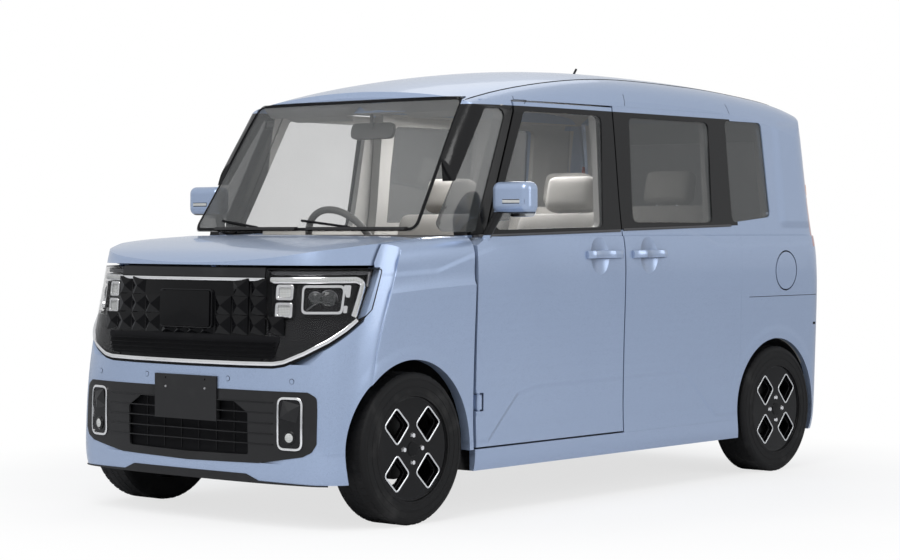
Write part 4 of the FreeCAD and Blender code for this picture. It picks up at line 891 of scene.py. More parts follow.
@dataclass
class Studio:
    """Floor, light and the camera of the photograph."""

    eye: Colour = (6.242, -7.597, 1.0838)
    turn: float = 40.02
    tilt: float = -1.24
    lens: float = 91.78
    backdrop: Colour = (1.0, 1.0, 1.0)
    sky: float = 0.56
    gloss_share: float = 0.45
    floor_white: float = 0.72

    def build(self) -> None:
        """Builds the floor, the world, the lamps and the camera."""
        self.build_floor()
        self.build_world()
        for name, spot, aim, size, power in (
                ("key_softbox", (1.4, -5.2, 5.6), (0.0, -0.9, 0.6), 4.5, 300.0),
                ("side_softbox", (6.5, 1.5, 2.8), (0.4, 0.2, 0.8), 4.0, 105.0),
                ("back_softbox", (-3.5, 4.5, 6.0), (0.0, 0.0, 0.8), 4.0, 22.0)):
            self.lamp(name, Vector(spot), Vector(aim), size, power)
        self.lamp("room_lamp", Vector((0.0, 0.35, 1.58)), Vector((0.0, 0.30, 0.0)), 0.9, 20.0)
        self.build_camera()

    def build_floor(self) -> None:
        """Builds a round pale floor that fades into the white background."""
        mesh = bmesh.new()
        bmesh.ops.create_circle(mesh, cap_ends=True, segments=96, radius=60.0)
        data = bpy.data.meshes.new("studio_floor")
        mesh.to_mesh(data)
        mesh.free()
        floor = bpy.data.objects.new("studio_floor", data)
        bpy.context.scene.collection.objects.link(floor)
        shade = Shade("studio_floor")
        shade.set(Base_Color=(0.80, 0.80, 0.81), Roughness=0.75, Specular_IOR_Level=0.2)
        white = shade.add("ShaderNodeEmission", None, {"Color": (*self.backdrop, 1.0), "Strength": 1.0})
        path = shade.add("ShaderNodeLightPath")
        x, y, _ = shade.axes()
        away = (x * x + y * y).root()
        wander = shade.noise(0.8, 2.0)
        seen = shade.wire(path.outputs["Is Camera Ray"]).larger(shade.wire(path.outputs["Is Transmission Ray"]))
        mixed = shade.add("ShaderNodeMixShader", None, {
            0: seen * (self.floor_white + (away + wander * 0.6).ramp(1.5, 3.2) * (1 - self.floor_white)),
            1: shade.shader.outputs[0], 2: white.outputs[0]})
        shade.tree.links.new(mixed.outputs[0], shade.out.inputs[0])
        data.materials.append(shade.material)

    def build_world(self) -> None:
        """Builds a pale sky that shows white to the camera, to gloss and through glass."""
        world = bpy.data.worlds.new("studio_sky")
        world.use_nodes = True
        graph = Graph(world.node_tree)
        graph.tree.nodes.clear()
        path = graph.add("ShaderNodeLightPath")
        camera, gloss, glass = (graph.wire(path.outputs["Is %s Ray" % kind])
                                for kind in ("Camera", "Glossy", "Transmission"))
        seen = camera.larger(gloss * self.gloss_share)
        seen = seen.larger(glass)
        shown = graph.add("ShaderNodeBackground", None, {0: (*self.backdrop, 1.0), 1: 1.0})
        light = graph.add("ShaderNodeBackground", None, {0: (0.93, 0.96, 1.0, 1.0), 1: self.sky})
        mixed = graph.add("ShaderNodeMixShader", None, {0: seen, 1: light.outputs[0], 2: shown.outputs[0]})
        graph.add("ShaderNodeOutputWorld", None, {0: mixed.outputs[0]})
        bpy.context.scene.world = world

    def lamp(self, name: str, spot: Vector, aim: Vector, size: float, power: float) -> None:
        """Adds one soft area lamp.

        Args:
            name: name of the lamp.
            spot: its place.
            aim: point that it faces.
            size: width in metres.
            power: power in watts.
        """
        data = bpy.data.lights.new(name, "AREA")
        data.shape, data.size, data.energy = "DISK", size, power
        made = bpy.data.objects.new(name, data)
        made.location = spot
        made.rotation_euler = (aim - spot).to_track_quat("-Z", "Y").to_euler()
        bpy.context.scene.collection.objects.link(made)

    def build_camera(self) -> None:
        """Builds the camera at the photograph's place, angle and width."""
        data = bpy.data.cameras.new("photo_camera")
        data.lens, data.sensor_width, data.sensor_fit = self.lens, 36.0, "HORIZONTAL"
        camera = bpy.data.objects.new("photo_camera", data)
        camera.location = self.eye
        camera.rotation_euler = (math.radians(90.0 + self.tilt), 0.0, math.radians(self.turn))
        bpy.context.scene.collection.objects.link(camera)
        bpy.context.scene.camera = camera
        bpy.context.scene.view_settings.view_transform = "Standard"


@dataclass
class Dressing:
    """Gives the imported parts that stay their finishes."""

    looks: dict[Look, tuple[str, ...]] = field(default_factory=lambda: {
        Look.PAINT: ("roof_panel", "hood", "front_bumper", "rear_bumper", "fender_left", "fender_right",
                     "fuel_lid"),
        Look.HOUSE: ("body_shell", "tailgate", "front_door_left", "front_door_right", "sliding_door_left",
                     "sliding_door_right"),
        Look.GLOSS: ("grille",),
        Look.HOUSING: ("headlamps",),
        Look.PLASTIC: ("front_plate", "wipers", "antenna"),
        # The knuckles and their brake discs take the dark chassis finish rather than bare steel, as painted shade
        # inside the wheels.
        Look.UNDER: ("knuckle_left", "knuckle_right", "floor_pan", "front_subframe", "rear_axle", "fuel_tank"),
        Look.STEEL: ("engine", "exhaust"),
        Look.CLEAR: ("windscreen", "front_door_glass_left", "front_door_glass_right"),
        Look.TINTED: ("quarter_glass", "sliding_door_glass", "tailgate_glass"),
        Look.CABIN: ("dashboard", "steering_wheel"),
        Look.RED: ("tail_lamps",),
        Look.FABRIC: ("front_seats", "rear_bench"),
        Look.RIM: ("rim_front_left", "rim_front_right", "rim_rear_left", "rim_rear_right"),
        Look.RUBBER: ("tyre_front_left", "tyre_front_right", "tyre_rear_left", "tyre_rear_right"),
    })

    def build(self, shop: Shop) -> None:
        """Gives each listed node its look.

        Args:
            shop: the shop that finishes the pieces.
        """
        for look, names in self.looks.items():
            shop.dress(look, *names)
            LOG.info("%s: %d packed parts", look.value, len(names))


class Tree(Graph):
    """A Geometry Nodes tree with named inputs, used once and turned into a plain mesh."""

    def __init__(self, name: str, sizes: dict[str, object]) -> None:
        """Makes the tree, its named inputs and its ends.

        Args:
            name: name of the tree.
            sizes: named inputs and values.
        """
        super().__init__(bpy.data.node_groups.new(name, "GeometryNodeTree"))
        kinds = {float: "NodeSocketFloat", int: "NodeSocketInt", tuple: "NodeSocketVector"}
        self.tree.interface.new_socket("Geometry", in_out="INPUT", socket_type="NodeSocketGeometry")
        self.keys: dict[str, str] = {}
        self.sizes = sizes
        for label, value in sizes.items():
            made = self.tree.interface.new_socket(label, in_out="INPUT", socket_type=kinds[type(value)])
            self.keys[label] = made.identifier
        made = self.tree.interface.new_socket("Finish", in_out="INPUT", socket_type="NodeSocketMaterial")
        self.keys["Finish"] = made.identifier
        self.tree.interface.new_socket("Geometry", in_out="OUTPUT", socket_type="NodeSocketGeometry")
        self.start = self.add("NodeGroupInput")
        self.end = self.add("NodeGroupOutput")

    def size(self, label: str) -> bpy.types.NodeSocket:
        """The socket of a named input."""
        return self.start.outputs[label]

    def named(self, label: str, kind: str) -> bpy.types.NodeSocket:
        """The socket of a point attribute of the mesh that goes in."""
        made = self.add("GeometryNodeInputNamedAttribute", {"data_type": kind}, {"Name": label})
        return made.outputs[0]

    def finish(self, geometry: bpy.types.NodeSocket) -> None:
        """Ends the tree in Realize Instances and Set Material.

        Args:
            geometry: the geometry to finish.
        """
        real = self.add("GeometryNodeRealizeInstances", None, {0: geometry})
        dressed = self.add("GeometryNodeSetMaterial", None, {0: real.outputs[0], "Material": self.size("Finish")})
        self.tree.links.new(dressed.outputs[0], self.end.inputs[0])

    def grow(self, shop: "Shop", name: str, seed: bpy.types.Mesh, look: Look, body: str,
             smooth: float = 30.0) -> bpy.types.Object:
        """Runs the tree on a mesh and hands over the plain result.

        Args:
            shop: the shop that finishes the piece.
            name: name of the piece.
            seed: points or lines that the tree builds on.
            look: finish of the piece.
            body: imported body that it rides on.
            smooth: angle in degrees under which edges shade smooth.

        Returns:
            The piece.
        """
        base = bpy.data.objects.new(name + "_seed", seed)
        bpy.context.scene.collection.objects.link(base)
        run = base.modifiers.new("grow", "NODES")
        run.node_group = self.tree
        for label, value in self.sizes.items():
            run[self.keys[label]] = value
        run[self.keys["Finish"]] = shop.palette.get(look)
        done = base.evaluated_get(bpy.context.evaluated_depsgraph_get())
        plain = bpy.data.meshes.new_from_object(done)
        base.modifiers.remove(run)
        bpy.data.objects.remove(base)
        mesh = bmesh.new()
        mesh.from_mesh(plain)
        return shop.piece(name, mesh, look, body, smooth)


@dataclass(frozen=True)
class Stud:
    """A repeated stud: its sides, its top's share of its base, and its turn about its axis."""

    corners: int
    waist: float
    turn: float = 0.0

    def seed(self, spots: Sequence[Spot], sizes: Sequence[Colour]) -> bpy.types.Mesh:
        """Makes the points that the copies are set on.

        Args:
            spots: place and outward direction of each copy.
            sizes: scale of each copy along its three axes.

        Returns:
            A mesh of loose points with the attributes aim and grow.
        """
        mesh = bpy.data.meshes.new("seed")
        mesh.from_pydata([tuple(spot) for spot, _ in spots], [], [])
        for label, rows in (("aim", [tuple(aim) for _, aim in spots]), ("grow", sizes)):
            held = mesh.attributes.new(label, "FLOAT_VECTOR", "POINT")
            for index, row in enumerate(rows):
                held.data[index].vector = row
        return mesh

    def set(self, shop: "Shop", name: str, spots: Sequence[Spot], sizes: Sequence[Colour], look: Look, body: str,
            smooth: float = 30.0) -> bpy.types.Object:
        """Sets a stud on each point, its axis along the point's aim.

        Args:
            shop: the shop that finishes the piece.
            name: name of the piece.
            spots: place and outward direction of each copy.
            sizes: scale of each copy along its three axes.
            look: finish of the piece.
            body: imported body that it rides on.
            smooth: angle in degrees under which edges shade smooth.

        Returns:
            The piece.
        """
        tree = Tree(name, {"Radius": 1.0, "Height": 1.0})
        top = Wire(tree, tree.size("Radius")) * self.waist
        cone = tree.add("GeometryNodeMeshCone", None, {
            "Vertices": self.corners, "Radius Top": top, "Radius Bottom": tree.size("Radius"),
            "Depth": tree.size("Height")})
        spun = tree.add("GeometryNodeTransform", None, {0: cone.outputs[0], "Rotation": (0.0, 0.0, self.turn)})
        face = tree.add("FunctionNodeAlignRotationToVector", {"axis": "Z", "pivot_axis": "AUTO"},
                        {"Vector": tree.named("aim", "FLOAT_VECTOR")})
        copies = tree.add("GeometryNodeInstanceOnPoints", None, {
            "Points": tree.start.outputs[0], "Instance": spun.outputs[0], "Rotation": face.outputs[0],
            "Scale": tree.named("grow", "FLOAT_VECTOR")})
        tree.finish(copies.outputs[0])
        return tree.grow(shop, name, self.seed(spots, sizes), look, body, smooth)


FACET = Stud(4, 0.03, EIGHTH)
FOG_STUD = Stud(4, 0.05, EIGHTH)
TREAD_BLOCK = Stud(4, 0.92, EIGHTH)
BUTTON = Stud(24, 0.93)
SCREW = Stud(6, 0.8)
NUT = Stud(6, 0.75)


@dataclass(frozen=True)
class Bars:
    """A swept bar that repeats along a step, as slats and ribs do."""

    wide: float
    deep: float
    count: int
    step: Colour

    def set(self, shop: "Shop", name: str, points: Sequence[Vector], look: Look) -> bpy.types.Object:
        """Repeats the bar on the body.

        Args:
            shop: the shop that finishes the piece.
            name: name of the piece.
            points: the line that the first bar is swept along.
            look: finish of the piece.

        Returns:
            The piece.
        """
        mesh = bpy.data.meshes.new("seed")
        mesh.from_pydata([tuple(point) for point in points], [(i, i + 1) for i in range(len(points) - 1)], [])
        tree = Tree(name, {"Wide": self.wide, "Deep": self.deep, "Count": self.count, "Step": self.step})
        path = tree.add("GeometryNodeMeshToCurve", None, {0: tree.start.outputs[0]})
        shape = tree.add("GeometryNodeCurvePrimitiveQuadrilateral", {"mode": "RECTANGLE"},
                         {"Width": tree.size("Wide"), "Height": tree.size("Deep")})
        bar = tree.add("GeometryNodeCurveToMesh", None, {0: path.outputs[0], 1: shape.outputs[0], "Fill Caps": True})
        row = tree.add("GeometryNodeMeshLine", {"mode": "OFFSET"},
                       {"Count": tree.size("Count"), "Offset": tree.size("Step")})
        copies = tree.add("GeometryNodeInstanceOnPoints", None,
                          {"Points": row.outputs[0], "Instance": bar.outputs[0]})
        tree.finish(copies.outputs[0])
        return tree.grow(shop, name, mesh, look, "body")


def plane(origin: Vector, across: Vector, up: Vector, out: Vector) -> Place:
    """A flat sheet to lay outlines on.

    Args:
        origin: its point at (0, 0).
        across: step of its first coordinate.
        up: step of its second coordinate.
        out: its outward direction.

    Returns:
        The point and outward direction of two coordinates.
    """
    def laid(u: float, v: float) -> Spot:
        """Point of the sheet, and outwards."""
        return origin + across * u + up * v, out
    return laid


def dome(mesh: bmesh.types.BMesh, spot: Spot, rise: float, radius: float, deep: float, parts: int) -> None:
    """Adds a flattened ball that sits on a surface.

    Args:
        mesh: mesh that it is added to.
        spot: point of the surface and its outward direction.
        rise: height of its middle over the surface.
        radius: its radius across.
        deep: its radius along the outward direction.
        parts: its steps round.
    """
    point, out = spot
    turn = out.to_track_quat("Z", "Y").to_matrix().to_4x4()
    shape = Matrix.Translation(point + out * rise) @ turn @ Matrix.Diagonal((radius, radius, deep, 1.0))
    bmesh.ops.create_uvsphere(mesh, u_segments=parts, v_segments=parts // 2, radius=1.0, matrix=shape)


class Nose:
    """The front of the car as one sheet: across it, round its corners, and up."""

    def __init__(self, nodes: dict[str, bpy.types.Object]) -> None:
        """Reads the front panels.

        Args:
            nodes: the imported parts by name.
        """
        self.skin = Skin(nodes, ("grille", "headlamps", "front_bumper", "fender_left", "fender_right"))
        self.corner = Vector((0.45, -1.40, 0.0))
        self.roll = 0.28
        self.bridge = (0.232, 0.511)
        self.edge = 0.575

    def ray(self, u: float, v: float) -> Spot:
        """Start and direction of the ray that meets the sheet at (u, v).

        Args:
            u: first coordinate, in metres.
            v: second coordinate, in metres.

        Returns:
            The point and its outward direction.
        """
        side = math.copysign(1.0, u)
        if abs(u) <= self.corner.x:
            return Vector((u, -3.0, v)), Vector((0.0, 1.0, 0.0))
        angle = (abs(u) - self.corner.x) / self.roll
        out = Vector((side * math.sin(angle), -math.cos(angle), 0.0))
        hub = Vector((side * self.corner.x, self.corner.y, v))
        return hub + out * 1.2, -out

    def at(self, u: float, v: float) -> Spot:
        """Point and outward direction of the sheet; over the intake it bridges from edge to edge.

        Args:
            u: place across, in metres, that runs on round the corner.
            v: height in metres.

        Returns:
            The point and the direction out of the sheet.
        """
        low, high = self.bridge
        if not (low < v < high and abs(u) < self.edge):
            return self.touch(u, v)
        share = (v - low) / (high - low)
        middle, bulge = [self.touch(u, w) for w in (low, high)], [self.touch(self.edge, w) for w in (low, v, high)]
        rise = (bulge[1][0] - bulge[0][0].lerp(bulge[2][0], share)).dot(bulge[0][1])
        out = middle[0][1]
        return middle[0][0].lerp(middle[1][0], share) + out * rise, out

    def touch(self, u: float, v: float) -> Spot:
        """Point of the panels at (u, v), with the ray's own direction turned outwards.

        Args:
            u: first coordinate, in metres.
            v: second coordinate, in metres.

        Returns:
            The point and its outward direction.
        """
        start, aim = self.ray(u, v)
        found = self.skin.hit(start, aim)
        step = 0.0
        while found is None and step < 0.03:
            step += 0.002
            found = self.skin.hit(start - Vector((0.0, 0.0, step)), aim)
        if found is None:
            return start + aim * 0.9, -aim
        point = found[0].copy()
        point.z = v
        return point, -aim

    def path(self, points: Sequence[Flat], step: float = 0.012, closed: bool = False) -> list[Spot]:
        """The points of a line on the sheet, evenly divided."""
        return [self.at(u, v) for u, v in line(points, step, closed)]


def bar_section(wide: float, low: float, high: float, soft: float = 0.3) -> list[Flat]:
    """Section of a trim strip with softened shoulders.

    Args:
        wide: width across.
        low: height of its foot over the surface, which may be below it.
        high: height of its crown.
        soft: share of the half width that the shoulder takes.

    Returns:
        The corners of the section.
    """
    half = wide / 2
    cut = half * soft
    return [(-half, low), (half, low), (half, high - cut * 0.6), (half - cut, high),
            (-half + cut, high), (-half, high - cut * 0.6)]


@dataclass
class Grille:
    """The dark grille: bright line, faceted studs, bare middle panel and low slats."""

    half: float = 0.380
    line_v: float = 0.9055
    upper_band: Flat = (0.914, 0.9465)
    panel: Colour = (0.132, 0.730, 0.860)
    panel_edge: float = 0.004
    rows: tuple[tuple[float, tuple[float, ...], Colour], ...] = (
        (0.738, (0.187, 0.270, 0.352, 0.434), (0.0415, 0.035, 0.017)),
        (0.808, (0.187, 0.270, 0.352), (0.0415, 0.035, 0.017)),
        (0.874, (0.270, 0.352), (0.0415, 0.035, 0.017)),
        (0.7155, (0.034, 0.103), (0.034, 0.0125, 0.012)))
    slat_low: float = 0.628
    slat_count: int = 4
    slat_step: float = 0.0165

    def build(self, shop: Shop, nose: Nose) -> None:
        """Builds every piece of the grille.

        Args:
            shop: the shop that finishes the pieces.
            nose: the sheet of the front.
        """
        shop.strip("grille_bright_line", nose.path([(-self.half, self.line_v), (self.half, self.line_v)]),
                   bar_section(0.011, -0.004, 0.006, 0.5), Look.BRIGHT)
        shop.slab("grille_upper_band", band(self.half, *self.upper_band, 0.002), nose.at, (-0.003, 0.004),
                  Look.PLASTIC, bevel=0.002)
        self.build_panel(shop, nose)
        self.build_studs(shop, nose)
        self.build_slats(shop, nose)

    def build_panel(self, shop: Shop, nose: Nose) -> None:
        """Builds the bare middle panel with its thin frame.

        Args:
            shop: the shop that finishes the pieces.
            nose: the sheet of the front.
        """
        half, low, high = self.panel
        edge = self.panel_edge
        shop.slab("grille_middle_panel", band(half, low, high, 0.012), nose.at, (-0.004, 0.016), Look.GLOSS,
                  bevel=0.003)
        frame = band(half + edge, low - edge, high + edge, 0.014)
        shop.strip("grille_panel_frame", nose.path(frame, 0.02, True), bar_section(0.005, -0.003, 0.009),
                   Look.HOUSING, closed=True)

    def build_studs(self, shop: Shop, nose: Nose) -> None:
        """Builds the faceted studs, in rows either side of the middle panel and below it.

        Args:
            shop: the shop that finishes the pieces.
            nose: the sheet of the front.
        """
        spots, sizes = [], []
        for v, places, (wide, tall, deep) in self.rows:
            for u in [sign * place for place in places for sign in (-1, 1)]:
                spots.append(nose.at(u, v))
                sizes.append((wide * DIAGONAL, tall * DIAGONAL, deep))
        FACET.set(shop, "grille_studs", spots, sizes, Look.GLOSS, "body", 5.0)

    def build_slats(self, shop: Shop, nose: Nose) -> None:
        """Builds the low slats over a dark screen.

        Args:
            shop: the shop that finishes the pieces.
            nose: the sheet of the front.
        """
        low, high = self.slat_low, self.slat_low + self.slat_count * self.slat_step
        outline = [(-0.46, high + 0.006), (-0.43, low - 0.010), (0.43, low - 0.010), (0.46, high + 0.006)]
        shop.slab("grille_low_screen", rounded(outline, 0.012), nose.at, (-0.003, 0.0015), Look.SEAL)
        path = [point + out * 0.004 for point, out in nose.path([(-0.44, low), (0.44, low)], 0.03)]
        Bars(0.010, 0.0028, self.slat_count, (0.0, 0.0, self.slat_step)).set(shop, "grille_slats", path, Look.GLOSS)


@dataclass
class Lamps:
    """The wrap-round headlamps: housing, light line, two square lights, a main light and the lens."""

    outline: tuple[Flat, ...] = (
        (0.3835, 0.9455), (0.3835, 0.606), (0.468, 0.610), (0.566, 0.632), (0.660, 0.674), (0.740, 0.722),
        (0.800, 0.760), (0.846, 0.798), (0.908, 0.9455))
    middle: Flat = (0.62, 0.80)
    lower: tuple[Flat, ...] = (
        (0.386, 0.758), (0.386, 0.612), (0.468, 0.616), (0.565, 0.637), (0.657, 0.679), (0.737, 0.727),
        (0.775, 0.757))
    guide: tuple[Flat, ...] = ((0.396, 0.9025), (0.798, 0.9045), (0.826, 0.893), (0.770, 0.772))
    upper: tuple[Flat, ...] = ((0.392, 0.9285), (0.862, 0.930), (0.845, 0.880))
    ring: tuple[Flat, ...] = ((0.542, 0.782), (0.722, 0.782), (0.745, 0.886), (0.542, 0.886))
    hole: tuple[Flat, ...] = ((0.551, 0.791), (0.713, 0.791), (0.734, 0.877), (0.551, 0.877))
    horn: tuple[Flat, ...] = ((0.742, 0.842), (0.760, 0.842), (0.772, 0.886), (0.736, 0.886))
    foot: tuple[Flat, ...] = ((0.726, 0.786), (0.742, 0.786), (0.748, 0.812), (0.730, 0.812))
    bar: tuple[Flat, ...] = ((0.556, 0.796), (0.563, 0.794), (0.612, 0.822), (0.606, 0.826))
    deep: float = 0.030

    def build(self, shop: Shop, nose: Nose) -> None:
        """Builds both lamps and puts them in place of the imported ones."""
        pieces = self.build_lamp(shop, nose, "left", 1) + self.build_lamp(shop, nose, "right", -1)
        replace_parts(pieces[0], "headlamps")

    def place(self, nose: Nose, sign: int) -> Place:
        """The sheet of the nose, mirrored for the right lamp.

        Args:
            nose: the sheet of the front.
            sign: 1 for the left, -1 for the right.

        Returns:
            The point and outward direction of two coordinates.
        """
        def laid(u: float, v: float) -> Spot:
            """Point and direction of the mirrored sheet."""
            return nose.at(sign * u, v)
        return laid

    def build_lamp(self, shop: Shop, nose: Nose, side: str, sign: int) -> list[bpy.types.Object]:
        """Builds one lamp; its housing comes first in the list.

        Args:
            shop: the shop that finishes the pieces.
            nose: the sheet of the front.
            side: left or right.
            sign: 1 for the left, -1 for the right.

        Returns:
            The pieces.
        """
        at = self.place(nose, sign)
        outer, middle = rounded(self.outline, 0.010, 4), Vector(self.middle)
        inner = [tuple(Vector(p) + (middle - Vector(p)).normalized() * 0.005) for p in outer]
        tub = shop.plate(outer, at, -self.deep - 0.004, -self.deep)
        shop.plate(outer, at, -self.deep - 0.002, 0.0008, 0.03, [inner], tub)
        shop.plate(rounded(self.lower, 0.006, 3), at, -0.020, -0.002, 0.03, (), tub)
        pieces = [shop.piece("headlamp_housing_" + side, tub, Look.HOUSING, "body", bevel=0.0015),
                  shop.slab("headlamp_lens_" + side, inner, at, (-0.0012, 0.0012), Look.LENS, bevel=0.0008)]
        guide = [at(u, v) for u, v in line(rounded(self.guide, 0.022, 6, False), 0.012)]
        upper = [at(u, v) for u, v in line(self.upper, 0.012)]
        for name, path, section, look in (
                ("headlamp_light_line_", guide, (0.022, -0.020, -0.007, 0.35), Look.BRIGHT),
                ("headlamp_light_guide_", guide, (0.009, -0.008, -0.0055, 0.3), Look.EMITTER),
                ("headlamp_upper_reflector_", upper, (0.016, -0.024, -0.014, 0.3), Look.SMOKED)):
            pieces.append(shop.strip(name + side, path, bar_section(*section), look))
        return pieces + self.build_squares(shop, at, side) + self.build_main(shop, at, side)

    def build_squares(self, shop: Shop, at: Place, side: str) -> list[bpy.types.Object]:
        """Builds the two square lights, one above the other.

        Args:
            shop: the shop that finishes the pieces.
            at: the sheet that it lies on.
            side: left or right.

        Returns:
            The pieces.
        """
        frames, lights = bmesh.new(), bmesh.new()
        for low, high in ((0.831, 0.888), (0.766, 0.823)):
            ring = box_outline((0.421, low), (0.499, high), 0.012)
            hole = box_outline((0.432, low + 0.011), (0.488, high - 0.011), 0.006)
            shop.plate(ring, at, -0.026, -0.008, 0.03, [hole], frames)
            shop.plate(hole, at, -0.026, -0.015, 0.03, (), lights)
        return [shop.piece("square_light_frames_" + side, frames, Look.BRIGHT, "body", bevel=0.003),
                shop.piece("square_lights_" + side, lights, Look.EMITTER, "body", bevel=0.002)]

    def build_main(self, shop: Shop, at: Place, side: str) -> list[bpy.types.Object]:
        """Builds the main light: bright bezel, dark bowl, lens and its bright horn.

        Args:
            shop: the shop that finishes the pieces.
            at: the sheet that it lies on.
            side: left or right.

        Returns:
            The pieces.
        """
        hole = rounded(self.hole, 0.016, 6)
        bezel = shop.plate(rounded(self.ring, 0.022, 6), at, -0.026, -0.007, 0.02, [hole])
        shop.plate(rounded(self.horn, 0.006, 3), at, -0.026, -0.010, 0.02, (), bezel)
        shop.plate(rounded(self.foot, 0.004, 3), at, -0.026, -0.011, 0.02, (), bezel)
        bowl = shop.plate(hole, at, -0.027, -0.022, 0.02)
        eye, shine = bmesh.new(), bmesh.new()
        for u, radius in ((0.664, 0.030), (0.600, 0.024)):
            spot = at(u, 0.836)
            dome(eye, spot, -0.022, radius, radius * 0.42, 28)
            dome(shine, spot, -0.0235, radius + 0.004, 0.004, 28)
        shop.plate(self.bar, at, -0.024, -0.018, 0.03, (), shine)
        return [shop.piece("main_light_bezel_" + side, bezel, Look.BRIGHT, "body", bevel=0.003),
                shop.piece("main_light_bowl_" + side, bowl, Look.HOUSING, "body"),
                shop.piece("main_light_eyes_" + side, eye, Look.TINTED, "body"),
                shop.piece("main_light_reflectors_" + side, shine, Look.SMOKED, "body")]


@dataclass
class Bumper:
    """Trim of the front bumper: lower bright line, intake, fog lights, sensors and under edge."""

    bright: tuple[Flat, ...] = (
        (0.0, 0.5985), (0.283, 0.5995), (0.430, 0.6015), (0.480, 0.609), (0.567, 0.641), (0.661, 0.686),
        (0.729, 0.727), (0.776, 0.762))
    intake: tuple[Flat, ...] = (
        (0.585, 0.503), (0.620, 0.485), (0.622, 0.440), (0.620, 0.317), (0.602, 0.288), (0.565, 0.270),
        (0.365, 0.239), (0.0, 0.231))
    opening: tuple[Flat, ...] = ((0.250, 0.460), (0.318, 0.420), (0.318, 0.268), (0.0, 0.262))
    slat_levels: tuple[float, ...] = (0.462, 0.424, 0.386, 0.348, 0.310)
    floor_y: float = -1.6665
    rib: Colour = (-0.4185, 0.272, 0.462)
    fog_u: float = 0.512
    under: tuple[Flat, ...] = (
        (-0.66, 0.169), (-0.36, 0.174), (-0.30, 0.197), (0.30, 0.197), (0.36, 0.174), (0.66, 0.169),
        (0.66, 0.165), (-0.66, 0.165))
    lip_z: float = 0.176

    def build(self, shop: Shop, nose: Nose) -> None:
        """Builds every piece of trim on the front bumper.

        Args:
            shop: the shop that finishes the pieces.
            nose: the sheet of the front.
        """
        half = rounded(self.bright, 0.06, 6, False)
        path = [(-u, v) for u, v in reversed(half[1:])] + half
        shop.strip("lower_bright_line", nose.path(path), bar_section(0.0135, -0.004, 0.0075, 0.5), Look.BRIGHT)
        groove = nose.path([(u, v - 0.0125) for u, v in path])
        shop.strip("lower_line_gap", groove, bar_section(0.010, -0.003, 0.0012, 0.3), Look.SEAL)
        self.build_intake(shop, nose)
        self.build_fogs(shop, nose)
        self.build_small(shop, nose)

    def build_intake(self, shop: Shop, nose: Nose) -> None:
        """Builds the dark surround, its slats and ribs, and the screen behind.

        Args:
            shop: the shop that finishes the pieces.
            nose: the sheet of the front.
        """
        outline = rounded(list(self.intake) + mirrored(self.intake)[1:], 0.022, 5)
        hole = rounded(list(self.opening) + mirrored(self.opening)[1:], 0.012, 3)
        shop.slab("intake_surround", outline, nose.at, (-0.006, 0.002), Look.PLASTIC, bevel=0.003, step=0.03,
                  holes=[hole])
        floor = plane(Vector((0.0, self.floor_y, 0.0)), ACROSS, UP, FORWARD)
        shop.slab("intake_screen", band(0.345, 0.2415, 0.480, 0.004), floor, (0.0, 0.002), Look.SEAL, step=0.6)
        rails = bmesh.new()
        for level in self.slat_levels:
            shop.rail(nose.path([(-0.436, level), (0.436, level)], 0.03), bar_section(0.0035, -0.016, 0.0045, 0.5),
                      mesh=rails)
        shop.piece("intake_slats", rails, Look.HOUSING, "body")
        x, low, high = self.rib
        run = [Vector((x, self.floor_y - 0.001, z)) for z in (low, high)]
        Bars(0.0025, 0.008, 10, (0.093, 0.0, 0.0)).set(shop, "intake_ribs", run, Look.HOUSING)

    def build_fogs(self, shop: Shop, nose: Nose) -> None:
        """Builds the tall bright frames with a stud and a round light in each.

        Args:
            shop: the shop that finishes the pieces.
            nose: the sheet of the front.
        """
        frames, wells, lights = bmesh.new(), bmesh.new(), bmesh.new()
        spots = []
        for sign in (-1, 1):
            ring = [(sign * u, v) for u, v in box_outline((0.461, 0.296), (0.563, 0.480), 0.026)]
            shop.rail(nose.path(ring, 0.014, True), bar_section(0.008, 0.0, 0.009, 0.5), True, frames)
            well = [(sign * u, v) for u, v in box_outline((0.465, 0.300), (0.559, 0.476), 0.022)]
            shop.plate(well, nose.at, 0.0, 0.0035, 0.03, (), wells)
            point, out = nose.at(sign * self.fog_u, 0.432)
            spots.append((point + out * 0.004, out))
            spot = nose.at(sign * self.fog_u, 0.338)
            dome(wells, spot, 0.004, 0.026, 0.007, 24)
            dome(lights, spot, 0.006, 0.019, 0.007, 24)
        shop.piece("fog_frames", frames, Look.BRIGHT, "body")
        shop.piece("fog_wells", wells, Look.HOUSING, "body", bevel=0.001)
        shop.piece("fog_lights", lights, Look.EMITTER, "body")
        FOG_STUD.set(shop, "fog_studs", spots, [(0.052, 0.048, 0.014)] * 2, Look.PLASTIC, "body", 5.0)

    def build_small(self, shop: Shop, nose: Nose) -> None:
        """Builds the sensors, the under edge and the plate's screws.

        Args:
            shop: the shop that finishes the pieces.
            nose: the sheet of the front.
        """
        spots = [nose.at(sign * u, v) for sign in (-1, 1) for u, v in ((0.217, 0.541), (0.516, 0.540))]
        for name, radius, rise, look in (("sensor_rings", 0.0105, 0.0006, Look.SEAL),
                                         ("sensors", 0.0090, 0.0016, Look.PAINT)):
            BUTTON.set(shop, name, spots, [(radius, radius, rise)] * 4, look, "body")
        shop.slab("front_under_edge", self.under, self.under_place(nose), (-0.02, 0.002), Look.PLASTIC, step=0.03)
        screws = [(Vector((x, -1.6972, 0.5)), FORWARD) for x in (-0.105, 0.105)]
        SCREW.set(shop, "plate_screws", screws, [(0.0055, 0.0055, 0.0025)] * 2, Look.STEEL, "body")

    def under_place(self, nose: Nose) -> Place:
        """The sheet of the nose, carried straight down below the bumper's edge.

        Args:
            nose: the sheet of the front.

        Returns:
            The point and outward direction of two coordinates.
        """
        def laid(u: float, v: float) -> Spot:
            """Point of the bumper just above its edge, at the asked height."""
            point, out = nose.at(u, max(v, self.lip_z))
            return Vector((point.x, point.y, v)), out
        return laid


